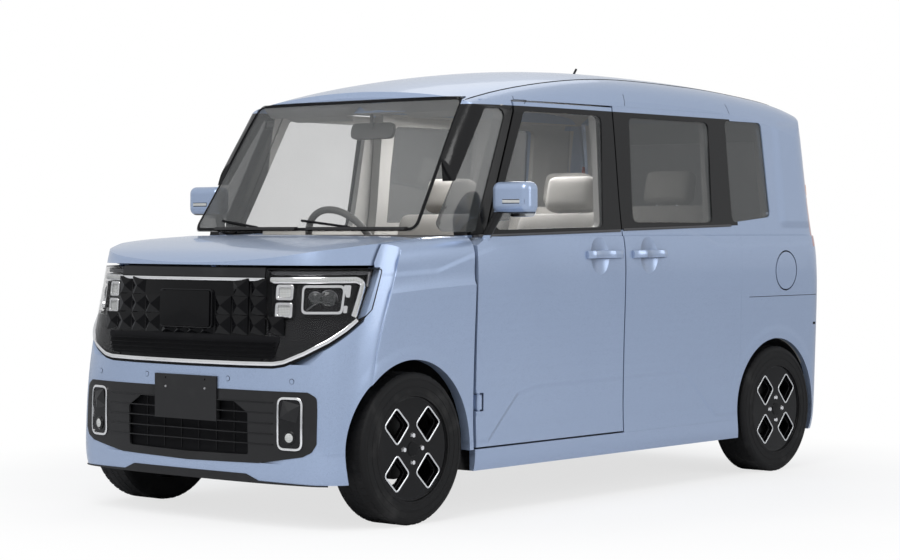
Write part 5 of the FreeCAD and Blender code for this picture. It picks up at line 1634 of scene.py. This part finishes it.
def lathe(profile: Sequence[Flat], place: Vector, aim: Vector, parts: int = 64,
          mesh: bmesh.types.BMesh | None = None) -> bmesh.types.BMesh:
    """Turns a closed profile about an axis.

    Args:
        profile: corners as (radius, place along the axis).
        place: start of the axis.
        aim: direction of the axis.
        parts: steps round.
        mesh: mesh that it is added to.

    Returns:
        The mesh.
    """
    mesh = mesh or bmesh.new()
    turn = aim.to_track_quat("Z", "Y").to_matrix()
    rings = []
    for radius, along in profile:
        spots = [(2 * math.pi * k / parts) for k in range(parts)]
        rings.append([mesh.verts.new(place + turn @ Vector((radius * math.cos(a), radius * math.sin(a), along)))
                      for a in spots])
    fresh = []
    for first, second in zip(rings, rings[1:] + rings[:1]):
        for k in range(parts):
            fresh.append(mesh.faces.new((first[k], first[(k + 1) % parts], second[(k + 1) % parts], second[k])))
    bmesh.ops.recalc_face_normals(mesh, faces=fresh)
    return mesh


@dataclass
class Wheel:
    """A dark wheel with four diamond openings in bright frames, and its tyre's tread."""

    name: str
    side: int
    y: float
    face: float = 0.7245
    rim: float = 0.1925
    diamond: tuple[Flat, ...] = ((0.156, 0.090), (0.088, 0.155), (0.018, 0.089), (0.085, 0.017))
    barrel: tuple[Flat, ...] = (
        (0.1925, 0.0012), (0.1925, -0.140), (0.152, -0.140), (0.152, -0.136), (0.180, -0.134), (0.176, -0.050),
        (0.1885, 0.0012))
    tyre: float = 0.281
    rings: tuple[float, ...] = (0.2035, 0.2300, 0.2560)
    tread: tuple[tuple[float, float, float], ...] = (
        (0.595, 0.0, 0.017), (0.636, 0.5, 0.012), (0.666, 0.0, 0.012), (0.706, 0.5, 0.017))
    blocks: int = 56

    def build(self, shop: Shop) -> None:
        """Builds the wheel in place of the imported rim, and dresses the tyre.

        Args:
            shop: the shop that finishes the pieces.
        """
        body = "wheel_" + self.name
        out, hub = Vector((self.side, 0.0, 0.0)), self.hub(self.face)
        at = plane(hub, ALONG, UP, out)
        holes = [[(a * h, b * v) for h, v in rounded(self.diamond, 0.016, 5)]
                 for a in (1, -1) for b in (1, -1)]
        disc = [(self.rim * math.cos(k * math.pi / 48), self.rim * math.sin(k * math.pi / 48)) for k in range(96)]
        mesh = shop.plate(disc, at, -0.016, 0.0, 0.2, holes)
        for hole in holes:
            middle = Vector((sum(h for h, _ in hole), sum(v for _, v in hole))) / len(hole)
            outer, inner = ([tuple(middle + (Vector(p) - middle) * share) for p in hole] for share in (1.03, 0.86))
            shop.plate(outer, at, -0.034, -0.0165, 0.2, [inner], mesh)
        lathe(self.barrel, hub, out, 96, mesh)
        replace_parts(shop.piece("wheel_face_" + self.name, mesh, Look.RIM, body, bevel=0.0015), "rim_" + self.name)
        frames = bmesh.new()
        for hole in holes:
            shop.rail([at(h, v) for h, v in hole], bar_section(0.0062, -0.002, 0.0016, 0.4), True, frames)
        shop.piece("wheel_bright_frames_" + self.name, frames, Look.MACHINED, body)
        cap = lathe([(CORE, 0.004), (0.026, 0.0035), (0.030, 0.0), (0.030, -0.004), (CORE, -0.004)], hub, out, 48)
        shop.piece("wheel_cap_" + self.name, cap, Look.GLOSS, body)
        spots = [(at(0.050 * math.cos(k * math.pi / 2), 0.050 * math.sin(k * math.pi / 2))[0] - out * 0.001, out)
                 for k in range(4)]
        NUT.set(shop, "wheel_nuts_" + self.name, spots, [(0.0115, 0.0115, 0.0075)] * 4, Look.BRIGHT, body)
        self.build_tyre(shop, body, out)

    def hub(self, x: float) -> Vector:
        """Point on the wheel's axis."""
        return Vector((self.side * x, self.y, AXLE_Z))

    def build_tyre(self, shop: Shop, body: str, aim: Vector) -> None:
        """Builds the sidewall rings and the tread blocks.

        Args:
            shop: the shop that finishes the pieces.
            body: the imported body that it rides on.
            aim: direction.
        """
        mesh = bmesh.new()
        for radius in self.rings:
            lathe([(radius - 0.0018, 0.7315), (radius - 0.0012, 0.7334), (radius + 0.0012, 0.7334),
                   (radius + 0.0018, 0.7315)], self.hub(0.0), aim, 96, mesh)
        shop.piece("tyre_rings_" + self.name, mesh, Look.RUBBER, body)
        spots, sizes = [], []
        for x, shift, wide in self.tread:
            for k in range(self.blocks):
                angle = (k + shift) * 2 * math.pi / self.blocks
                out = Vector((0.0, math.cos(angle), math.sin(angle)))
                spots.append((self.hub(x) + out * (self.tyre - 0.0008), out))
                sizes.append((wide, 0.0165, 0.0016))
        TREAD_BLOCK.set(shop, "tyre_tread_" + self.name, spots, sizes, Look.RUBBER, body, 20.0)


@dataclass
class Flank:
    """One side of the body: handles, belt strip, fine seams, mirror and slots."""

    sign: int
    handles: tuple[Flat, ...] = ((-0.185, 0.056), (0.131, 0.368))
    handle_z: float = 0.985
    handle_rise: float = 0.026
    handle_section: tuple[Flat, ...] = (
        (-0.0165, 0.002), (-0.013, -0.004), (0.013, -0.004), (0.0165, 0.002), (0.014, 0.008), (0.005, 0.011),
        (-0.005, 0.011), (-0.014, 0.008))
    belts: tuple[Flat, ...] = ((-0.862, 0.070), (0.092, 0.900))
    hinge_cover: tuple[Flat, Flat] = ((-0.8715, 0.380), (-0.838, 0.478))
    seams: tuple[tuple[Flat, Flat], ...] = (
        ((-0.546, 1.578), (-0.515, 1.612)), ((0.172, 1.600), (0.181, 1.650)), ((0.963, 1.596), (0.952, 1.640)))
    ditch: float = 0.5600

    def build(self, shop: Shop) -> None:
        """Builds every piece of this side.

        Args:
            shop: the shop that finishes the pieces.
        """
        side = "left" if self.sign > 0 else "right"
        skins = [Skin(shop.nodes, (node + side,)) for node in ("front_door_", "sliding_door_")]
        front, rear = (self.on(skin) for skin in skins)
        for at, ends, name, body in ((front, self.handles[0], "front_", "door_" + side),
                                     (rear, self.handles[1], "rear_", "body")):
            self.build_handle(shop, at, ends, name + side, body)
        self.build_belt(shop, front, self.belts[0], "front_" + side, "door_" + side)
        self.build_mirror(shop, skins[0], side)
        shop.slab("hinge_cover_" + side, box_outline(*self.hinge_cover, 0.004), front, (0.0004, 0.0016), Look.HOUSE,
                  "door_" + side, 0.0006, 0.01)
        self.build_belt(shop, rear, self.belts[1], "rear_" + side, "body")
        self.build_seams(shop, side)

    def on(self, skin: Skin) -> Place:
        """The side surface of some parts, with its outward direction kept level along the car.

        Args:
            skin: the surface of the door.

        Returns:
            The point and outward direction of two coordinates.
        """
        level = Vector((self.sign, 0.0, 0.0))

        def laid(y: float, z: float) -> Spot:
            """Point of the surface, and outwards.

            Args:
                y: place along the car.
                z: height.

            Returns:
                The point and its outward direction.
            """
            found = skin.hit(Vector((self.sign * 2.0, y, z)), -level)
            if found is None:
                found = (Vector((self.sign * 0.70, y, z)), level)
            out = Vector((found[1].x, 0.0, found[1].z))
            return found[0], out.normalized() if out.length > 0.3 else level
        return laid

    def build_handle(self, shop: Shop, at: Place, ends: Flat, name: str, body: str) -> None:
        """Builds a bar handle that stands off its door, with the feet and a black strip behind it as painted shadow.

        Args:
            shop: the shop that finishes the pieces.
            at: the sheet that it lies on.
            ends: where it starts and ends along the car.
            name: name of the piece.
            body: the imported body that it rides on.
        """
        start, end = ends
        path = []
        for k in range(25):
            t = k / 24
            point, out = at(start + (end - start) * t, self.handle_z)
            path.append((point + out * (self.handle_rise * min(1.0, 4.5 * min(t, 1 - t)) ** 0.6), out))
        shop.strip("handle_" + name, path, self.handle_section, Look.PAINT, body)
        # Painted shadow: a black strip on the door behind the handle, where the gap is in shade.
        back = [at(start + (end - start) * t, self.handle_z - 0.002) for t in (0.03, 0.2, 0.4, 0.6, 0.8, 0.97)]
        shop.strip("handle_gap_" + name, back, bar_section(0.037, -0.002, 0.0008), Look.SEAL, body)

    def build_belt(self, shop: Shop, at: Place, ends: Flat, name: str, body: str) -> None:
        """Builds the strip under a door's window.

        Args:
            shop: the shop that finishes the pieces.
            at: the sheet that it lies on.
            ends: where it starts and ends along the car.
            name: name of the piece.
            body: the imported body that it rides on.
        """
        start, end = ends
        path = []
        for k in range(30):
            y = start + (end - start) * k / 29
            path.append(at(y, 1.0840 + 0.023 * y - (0.0 if y > 0.08 else 0.003)))
        shop.strip("belt_strip_" + name, path, bar_section(0.010, -0.004, 0.0035, 0.5), Look.SMOKED, body)

    def build_seams(self, shop: Shop, side: str) -> None:
        """Builds the fine shut lines over the doors, the rear bumper's slot and the roof ditch.

        Args:
            shop: the shop that finishes the pieces.
            side: left or right.
        """
        skin = Skin(shop.nodes, ("body_shell", "fender_" + side, "front_bumper", "rear_bumper", "roof_panel"))
        at, lines = self.on(skin), bmesh.new()
        runs = [(line(seam, 0.01), (0.0022, -0.001, 0.0006)) for seam in self.seams]
        runs.append((line([(1.60, 0.789), (1.02, 0.789)], 0.02), (0.0025, -0.001, 0.0006)))
        runs.append((line([(1.57, 0.657), (1.60, 0.657)], 0.02), (0.012, -0.001, 0.0008)))
        for run, section in runs:
            shop.rail([at(y, z) for y, z in run], bar_section(*section), mesh=lines)
        shop.piece("side_seams_" + side, lines, Look.SEAL, "body")
        found = [skin.hit(Vector((self.sign * self.ditch, y, 3.0)), DOWN)
                 for y, _ in line([(-0.75, 0.0), (1.45, 0.0)], 0.04)]
        path = [spot for spot in found if spot is not None and spot[1].z > 0.2]
        shop.strip("roof_ditch_" + side, path, bar_section(0.009, -0.006, 0.0012, 0.4), Look.SEAL)

    def build_mirror(self, shop: Shop, skin: Skin, side: str) -> None:
        """Builds the mirror's glass and its indicator strip.

        Args:
            shop: the shop that finishes the pieces.
            skin: the surface of the door.
            side: left or right.
        """
        body = "door_" + side
        found = skin.hit(Vector((self.sign * 0.83, 0.6, 1.20)), FORWARD)
        back = plane(Vector((0.0, found[0].y if found else -0.73, 0.0)), ACROSS * self.sign, UP, ALONG)
        shop.slab("mirror_glass_" + side, box_outline((0.765, 1.135), (0.898, 1.262), 0.025), back,
                  (-0.002, 0.0015), Look.MIRROR, body, 0.001, 0.2)
        path = []
        for k in range(22):
            angle = math.radians(12 + 74 * k / 21)
            out = Vector((self.sign * math.sin(angle), -math.cos(angle), 0.0))
            found = skin.hit(Vector((self.sign * 0.80, -0.80, 1.193)) + out * 0.5, -out)
            if found is not None:
                path.append((found[0], out))
        shop.strip("indicator_frame_" + side, path, bar_section(0.020, -0.004, 0.0008), Look.HOUSING, body)
        shop.strip("indicator_" + side, path[1:-1], bar_section(0.011, -0.004, 0.0020), Look.EMITTER, body)


@dataclass
class Tail:
    """The rear: handle strip, bare plate, lamp lenses, reflectors, wiper and lower insert."""

    plates: tuple[Plate, ...] = (
        ("gate_handle_strip", 0.30, 0.985, 1.030, 0.012, (-0.002, 0.010), Look.GLOSS, 0.003),
        ("plate_recess", 0.175, 0.792, 0.967, 0.010, (-0.002, 0.0015), Look.PLASTIC, 0.001),
        ("rear_plate", 0.165, 0.797, 0.962, 0.006, (0.002, 0.0045), Look.PALE, 0.0006))
    stop_lamp: Plate = ("high_stop_lamp", 0.12, 1.566, 1.582, 0.005, (-0.002, 0.003), Look.RED, 0.001)
    screws: tuple[Flat, ...] = ((-0.105, 0.945), (0.105, 0.945))
    wiper: tuple[Flat, ...] = ((0.0, 1.135), (-0.33, 1.150))
    insert: tuple[Flat, ...] = ((-0.52, 0.200), (0.52, 0.200), (0.47, 0.290), (-0.47, 0.290))
    sensors: tuple[float, ...] = (-0.5, -0.2, 0.2, 0.5)

    def build(self, shop: Shop) -> None:
        """Builds every piece of the rear.

        Args:
            shop: the shop that finishes the pieces.
        """
        gate = self.on(shop, "tailgate")
        for plate in self.plates:
            self.build_plate(shop, gate, plate)
        spots = [(point + out * 0.006, out) for point, out in (gate(x, z) for x, z in self.screws)]
        SCREW.set(shop, "rear_plate_screws", spots, [(0.0055, 0.0055, 0.003)] * 2, Look.STEEL, "gate")
        self.build_plate(shop, gate, self.stop_lamp)
        self.build_wiper(shop)
        bumper, lamps = self.on(shop, "rear_bumper"), self.on(shop, "tail_lamps", "body_shell")
        shop.slab("rear_lower_insert", rounded(self.insert, 0.02), bumper, (-0.002, 0.003), Look.PLASTIC,
                  bevel=0.001, step=0.04)
        lenses, reflectors = bmesh.new(), bmesh.new()
        for sign in (-1, 1):
            left, right = sorted((sign * 0.50, sign * 0.60))
            shop.plate(box_outline((left, 0.395), (right, 0.420), 0.006), bumper, -0.002, 0.003, 0.03, (),
                       reflectors)
            left, right = sorted((sign * 0.612, sign * 0.668))
            for low, high in ((1.185, 1.235), (1.245, 1.295)):
                shop.plate(box_outline((left, low), (right, high), 0.006), lamps, -0.004, 0.002, 0.02, (), lenses)
        shop.piece("rear_reflectors", reflectors, Look.RED, "body", bevel=0.001)
        shop.piece("rear_lamp_lenses", lenses, Look.AMBER, "body", bevel=0.001)
        BUTTON.set(shop, "rear_sensors", [bumper(x, 0.52) for x in self.sensors], [(0.0095, 0.0095, 0.0016)] * 4,
                   Look.PAINT, "body")

    def build_plate(self, shop: Shop, gate: Place, plate: Plate) -> None:
        """Builds one flat piece on the tailgate."""
        name, half, low, high, radius, levels, look, bevel = plate
        shop.slab(name, band(half, low, high, radius), gate, levels, look, "gate", bevel, 0.05)

    def build_wiper(self, shop: Shop) -> None:
        """Builds the wiper on the tailgate's glass, with its hub.

        Args:
            shop: the shop that finishes the pieces.
        """
        glass = self.on(shop, "tailgate_glass", "tailgate")
        path = [(point + out * 0.014, out) for point, out in (glass(x, z) for x, z in line(self.wiper, 0.03))]
        mesh = shop.rail(path, bar_section(0.010, -0.012, 0.004, 0.5))
        lathe([(CORE, -0.016), (0.016, -0.016), (0.016, 0.004), (0.010, 0.008), (CORE, 0.008)], *path[0], 32, mesh)
        shop.piece("rear_wiper", mesh, Look.SEAL, "gate")

    def on(self, shop: Shop, *names: str) -> Place:
        """The rear surface of some parts, seen from behind.

        Args:
            shop: the shop that finishes the pieces.
            names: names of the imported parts.

        Returns:
            The point and outward direction of two coordinates.
        """
        skin = Skin(shop.nodes, names)

        def laid(u: float, v: float) -> Spot:
            """Point of the surface, and a direction that faces backwards.

            Args:
                u: first coordinate, in metres.
                v: second coordinate, in metres.

            Returns:
                The point and its outward direction.
            """
            found = skin.hit(Vector((u, 3.0, v)), FORWARD)
            if found is None:
                return Vector((u, 1.64, v)), ALONG
            return found[0], found[1] if found[1].y > 0.4 else ALONG
        return laid


@dataclass(frozen=True)
class Pad:
    """A stuffed cushion: its size, roundness, crown and side bolsters."""

    size: Colour
    soft: float = 0.035
    crown: float = 0.016
    bolster: float = 0.018
    groove: float = 0.006
    seam: float = 0.2

    def add(self, mesh: bmesh.types.BMesh, place: Matrix, cuts: int = 15) -> None:
        """Adds the cushion to a mesh.

        Args:
            mesh: mesh that it is added to.
            place: turns and moves it from its own frame, where its face looks up.
            cuts: divisions of each edge.
        """
        block = bmesh.new()
        bmesh.ops.create_cube(block, size=2.0)
        bmesh.ops.subdivide_edges(block, edges=block.edges[:], cuts=cuts, use_grid_fill=True)
        half = Vector(self.size) / 2
        for vertex in block.verts:
            u, v, top = vertex.co
            spot = Vector((u * half.x, v * half.y, top * half.z))
            inner = Vector([max(-edge + self.soft, min(edge - self.soft, value)) for value, edge in zip(spot, half)])
            away = spot - inner
            if away.length > 1e-9:
                spot = inner + away.normalized() * self.soft
            if top > 0.5:
                lift = self.crown * (1 - u * u) * (1 - v * v)
                side = max(0.0, min(1.0, (abs(u) - 0.5) / 0.3))
                lift += self.bolster * side * side * (3 - 2 * side) * (1 - abs(u) ** 10) * (1 - abs(v) ** 8)
                lift -= self.groove * math.exp(-(((abs(u) - 0.52) / 0.045) ** 2)) * (1 - abs(v) ** 8)
                if abs(u) < 0.52:
                    lift -= self.groove * math.exp(-(((v - self.seam) / 0.04) ** 2))
                spot.z += lift
            vertex.co = place @ spot
        data = bpy.data.meshes.new("pad")
        block.to_mesh(data)
        block.free()
        mesh.from_mesh(data)
        bpy.data.meshes.remove(data)


@dataclass
class Seats:
    """The front seats and the rear bench, padded, with head rests, posts and bases."""

    recline: float = 14.0
    floor: float = 0.264

    def build(self, shop: Shop) -> None:
        """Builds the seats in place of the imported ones.

        Args:
            shop: the shop that finishes the pieces.
        """
        front, rear = [], []
        for name, sign in (("left", 1), ("right", -1)):
            front += self.build_seat(shop, "front_seat_" + name, sign * 0.340, 0.090, 0.480, 0.380)
            rear += self.build_seat(shop, "rear_seat_" + name, sign * 0.2905, 0.890, 0.578, 0.4203)
        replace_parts(front[0], "front_seats")
        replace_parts(rear[0], "rear_bench")

    def build_seat(self, shop: Shop, name: str, x: float, y: float, width: float,
                   low: float) -> list[bpy.types.Object]:
        """Builds one seat.

        Args:
            shop: the shop.
            name: name of the seat.
            x: place of its middle.
            y: place of the foot of its back.
            width: its width.
            low: height of its cushion's under side.

        Returns:
            Its pieces, the cushion first.
        """
        lean = Matrix.Translation((x, y, low)) @ Matrix.Rotation(math.radians(-self.recline), 4, "X")
        upright = Matrix.Rotation(math.radians(90.0), 4, "X")
        pieces = []
        for part, pad, place, cuts in (
                ("_cushion", Pad((width - 0.006, 0.470, 0.165), 0.04, 0.004, 0.0),
                 Matrix.Translation((x, y - 0.262, low + 0.088)), 15),
                ("_back", Pad((width - 0.012, 0.660, 0.115), 0.04, 0.006, 0.006, 0.005, -0.25),
                 lean @ Matrix.Translation((0.0, -0.072, 0.445)) @ upright, 15),
                ("_head_rest", Pad((0.250, 0.155, 0.085), 0.034, 0.006, 0.0, 0.0),
                 lean @ Matrix.Translation((0.0, -0.055, 0.868)) @ upright, 9)):
            mesh = bmesh.new()
            pad.add(mesh, place, cuts)
            made = shop.piece(name + part, mesh, Look.FABRIC, "body", 60.0)
            fine = made.modifiers.new("fine", "SUBSURF")
            fine.levels = fine.render_levels = 1
            pieces.append(made)
        posts = bmesh.new()
        for side in (-0.055, 0.055):
            lathe([(CORE, 0.0), (0.006, 0.0), (0.006, 0.08), (CORE, 0.08)], lean @ Vector((side, -0.055, 0.745)),
                  lean.to_3x3() @ UP, 20, posts)
        outline = rounded([(-0.165, -0.44), (0.165, -0.44), (0.165, -0.03), (-0.165, -0.03)], 0.03)
        foot = plane(Vector((x, y, self.floor)), ACROSS, ALONG, UP)
        return pieces + [shop.piece(name + "_posts", posts, Look.BRIGHT, "body"),
                         shop.slab(name + "_base", outline, foot, (0.0, low - self.floor + 0.01), Look.PLASTIC,
                                   bevel=0.006, step=0.2)]


@dataclass
class Cabin:
    """Fittings seen through the glass: mirror, visors, headliner, dashboard details and window seals."""

    liner: tuple[Flat, ...] = (
        (-0.530, -0.745), (0.530, -0.745), (0.555, -0.640), (0.555, 1.480), (-0.555, 1.480), (-0.555, -0.640))
    vents: tuple[float, ...] = (-0.60, -0.185, 0.165, 0.53)
    screen: tuple[Flat, ...] = ((-0.593, 1.088), (0.593, 1.088), (0.548, 1.598), (-0.548, 1.598))
    arms: tuple[Flat, ...] = ((0.30, 0.04), (-0.19, -0.42))

    def build(self, shop: Shop) -> None:
        """Builds the cabin's fittings.

        Args:
            shop: the shop that finishes the pieces.
        """
        self.build_roof(shop)
        self.build_dashboard(shop)
        self.build_screen(shop)

    def build_roof(self, shop: Shop) -> None:
        """Builds the headliner, the visors and the interior mirror.

        Args:
            shop: the shop that finishes the pieces.
        """
        roof = Skin(shop.nodes, ("roof_panel", "body_shell"))

        def under(u: float, v: float) -> Spot:
            """Point under the roof."""
            found = roof.hit(Vector((u, v, 1.30)), UP)
            return (found[0] if found else Vector((u, v, 1.60))), DOWN

        shop.piece("headliner", shop.plate(self.liner, under, 0.0015, 0.005, 0.06), Look.PALE, "body", 60.0)
        visors = bmesh.new()
        for side in (-1, 1):
            hang = plane(Vector((side * 0.33, -0.640, 1.568)), ACROSS, Vector((0.0, 0.75, -0.20)),
                         Vector((0.0, -0.26, -0.97)))
            shop.plate(box_outline((-0.17, -0.06), (0.17, 0.09), 0.03), hang, 0.0, 0.014, 0.2, (), visors)
        shop.piece("sun_visors", visors, Look.PALE, "body", bevel=0.005)
        glass = plane(Vector((0.0, -0.640, 1.485)), ACROSS, Vector((0.0, 0.2, 1.0)), Vector((0.0, 0.98, -0.2)))
        mesh = shop.plate(band(0.115, -0.032, 0.032, 0.028), glass, -0.018, 0.0, 0.2)
        lathe([(CORE, 0.0), (0.007, 0.0), (0.007, 0.085), (CORE, 0.085)], Vector((0.0, -0.655, 1.495)),
              Vector((0.0, -0.05, 1.0)).normalized(), 20, mesh)
        shop.piece("interior_mirror", mesh, Look.CABIN, "body", bevel=0.004)
        shop.slab("interior_mirror_glass", band(0.109, -0.027, 0.027, 0.024), glass, (0.0, 0.001), Look.MIRROR,
                  step=0.2)

    def build_dashboard(self, shop: Shop) -> None:
        """Builds the meter hood, the middle screen, the vents and the top pad.

        Args:
            shop: the shop that finishes the pieces.
        """
        face = plane(Vector((0.0, -0.570, 0.930)), ACROSS, Vector((0.0, -0.5, 1.0)), Vector((0.0, 0.89, 0.45)))
        pads, screens = bmesh.new(), bmesh.new()
        for low, high, radius, under, over, mesh in (
                ((-0.10, 0.010), (0.12, 0.118), 0.012, -0.02, 0.010, pads),
                ((-0.50, 0.020), (-0.24, 0.110), 0.02, -0.02, 0.012, pads),
                ((-0.092, 0.018), (0.112, 0.110), 0.006, 0.010, 0.0115, screens),
                ((-0.485, 0.030), (-0.255, 0.100), 0.012, 0.012, 0.0135, screens)):
            shop.plate(box_outline(low, high, radius), face, under, over, 0.3, (), mesh)
        shop.piece("dashboard_bezels", pads, Look.CABIN, "body", bevel=0.003)
        shop.piece("dashboard_screens", screens, Look.GLOSS, "body", bevel=0.0005)
        lift = Vector((0.0, 0.004, 0.002))
        for index, x in enumerate(self.vents):
            run = [face(x, 0.045)[0] + lift, face(x + 0.075, 0.045)[0] + lift]
            Bars(0.003, 0.012, 5, (0.0, -0.006, 0.012)).set(shop, "dash_vent_%d" % index, run, Look.PLASTIC)
        top = plane(Vector((0.0, 0.0, 1.0600)), ACROSS, ALONG, UP)
        shop.slab("dashboard_top_pad", band(0.64, -0.83, -0.645, 0.03), top, (-0.001, 0.006), Look.CABIN,
                  bevel=0.003, step=0.3)

    def build_screen(self, shop: Shop) -> None:
        """Builds the seal round the windscreen and the wiper arms.

        Args:
            shop: the shop that finishes the pieces.
        """
        skin = Skin(shop.nodes, ("windscreen",))
        found = [skin.hit(Vector((u, -3.0, v)), ALONG) for u, v in line(rounded(self.screen, 0.03), 0.04, True)]
        shop.strip("windscreen_seal", [spot for spot in found if spot is not None],
                   bar_section(0.014, -0.001, 0.0012), Look.SEAL, closed=True)
        mesh = bmesh.new()
        for start, end in self.arms:
            found = [skin.hit(Vector((u, -3.0, v)), ALONG) for u, v in ((start, 1.092), (end, 1.118))]
            if all(found):
                shop.rail(found, bar_section(0.008, 0.004, 0.010), mesh=mesh)
        shop.piece("wiper_arms", mesh, Look.SEAL, "body")


def main() -> None:
    """Builds the car's looks in order and reports each piece."""
    logging.basicConfig(level=logging.INFO, format="%(message)s")
    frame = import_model()
    shop = Shop(frame)
    Studio().build()
    Dressing().build(shop)
    nose = Nose(shop.nodes)
    for front in (Grille(), Lamps(), Bumper()):
        front.build(shop, nose)
    for name, side, y in (("front_left", 1, FRONT_AXLE_Y), ("front_right", -1, FRONT_AXLE_Y),
                          ("rear_left", 1, REAR_AXLE_Y), ("rear_right", -1, REAR_AXLE_Y)):
        Wheel(name, side, y).build(shop)
    for part in (Flank(1), Flank(-1), Tail(), Seats(), Cabin()):
        part.build(shop)


if __name__ == "__main__":
    main()
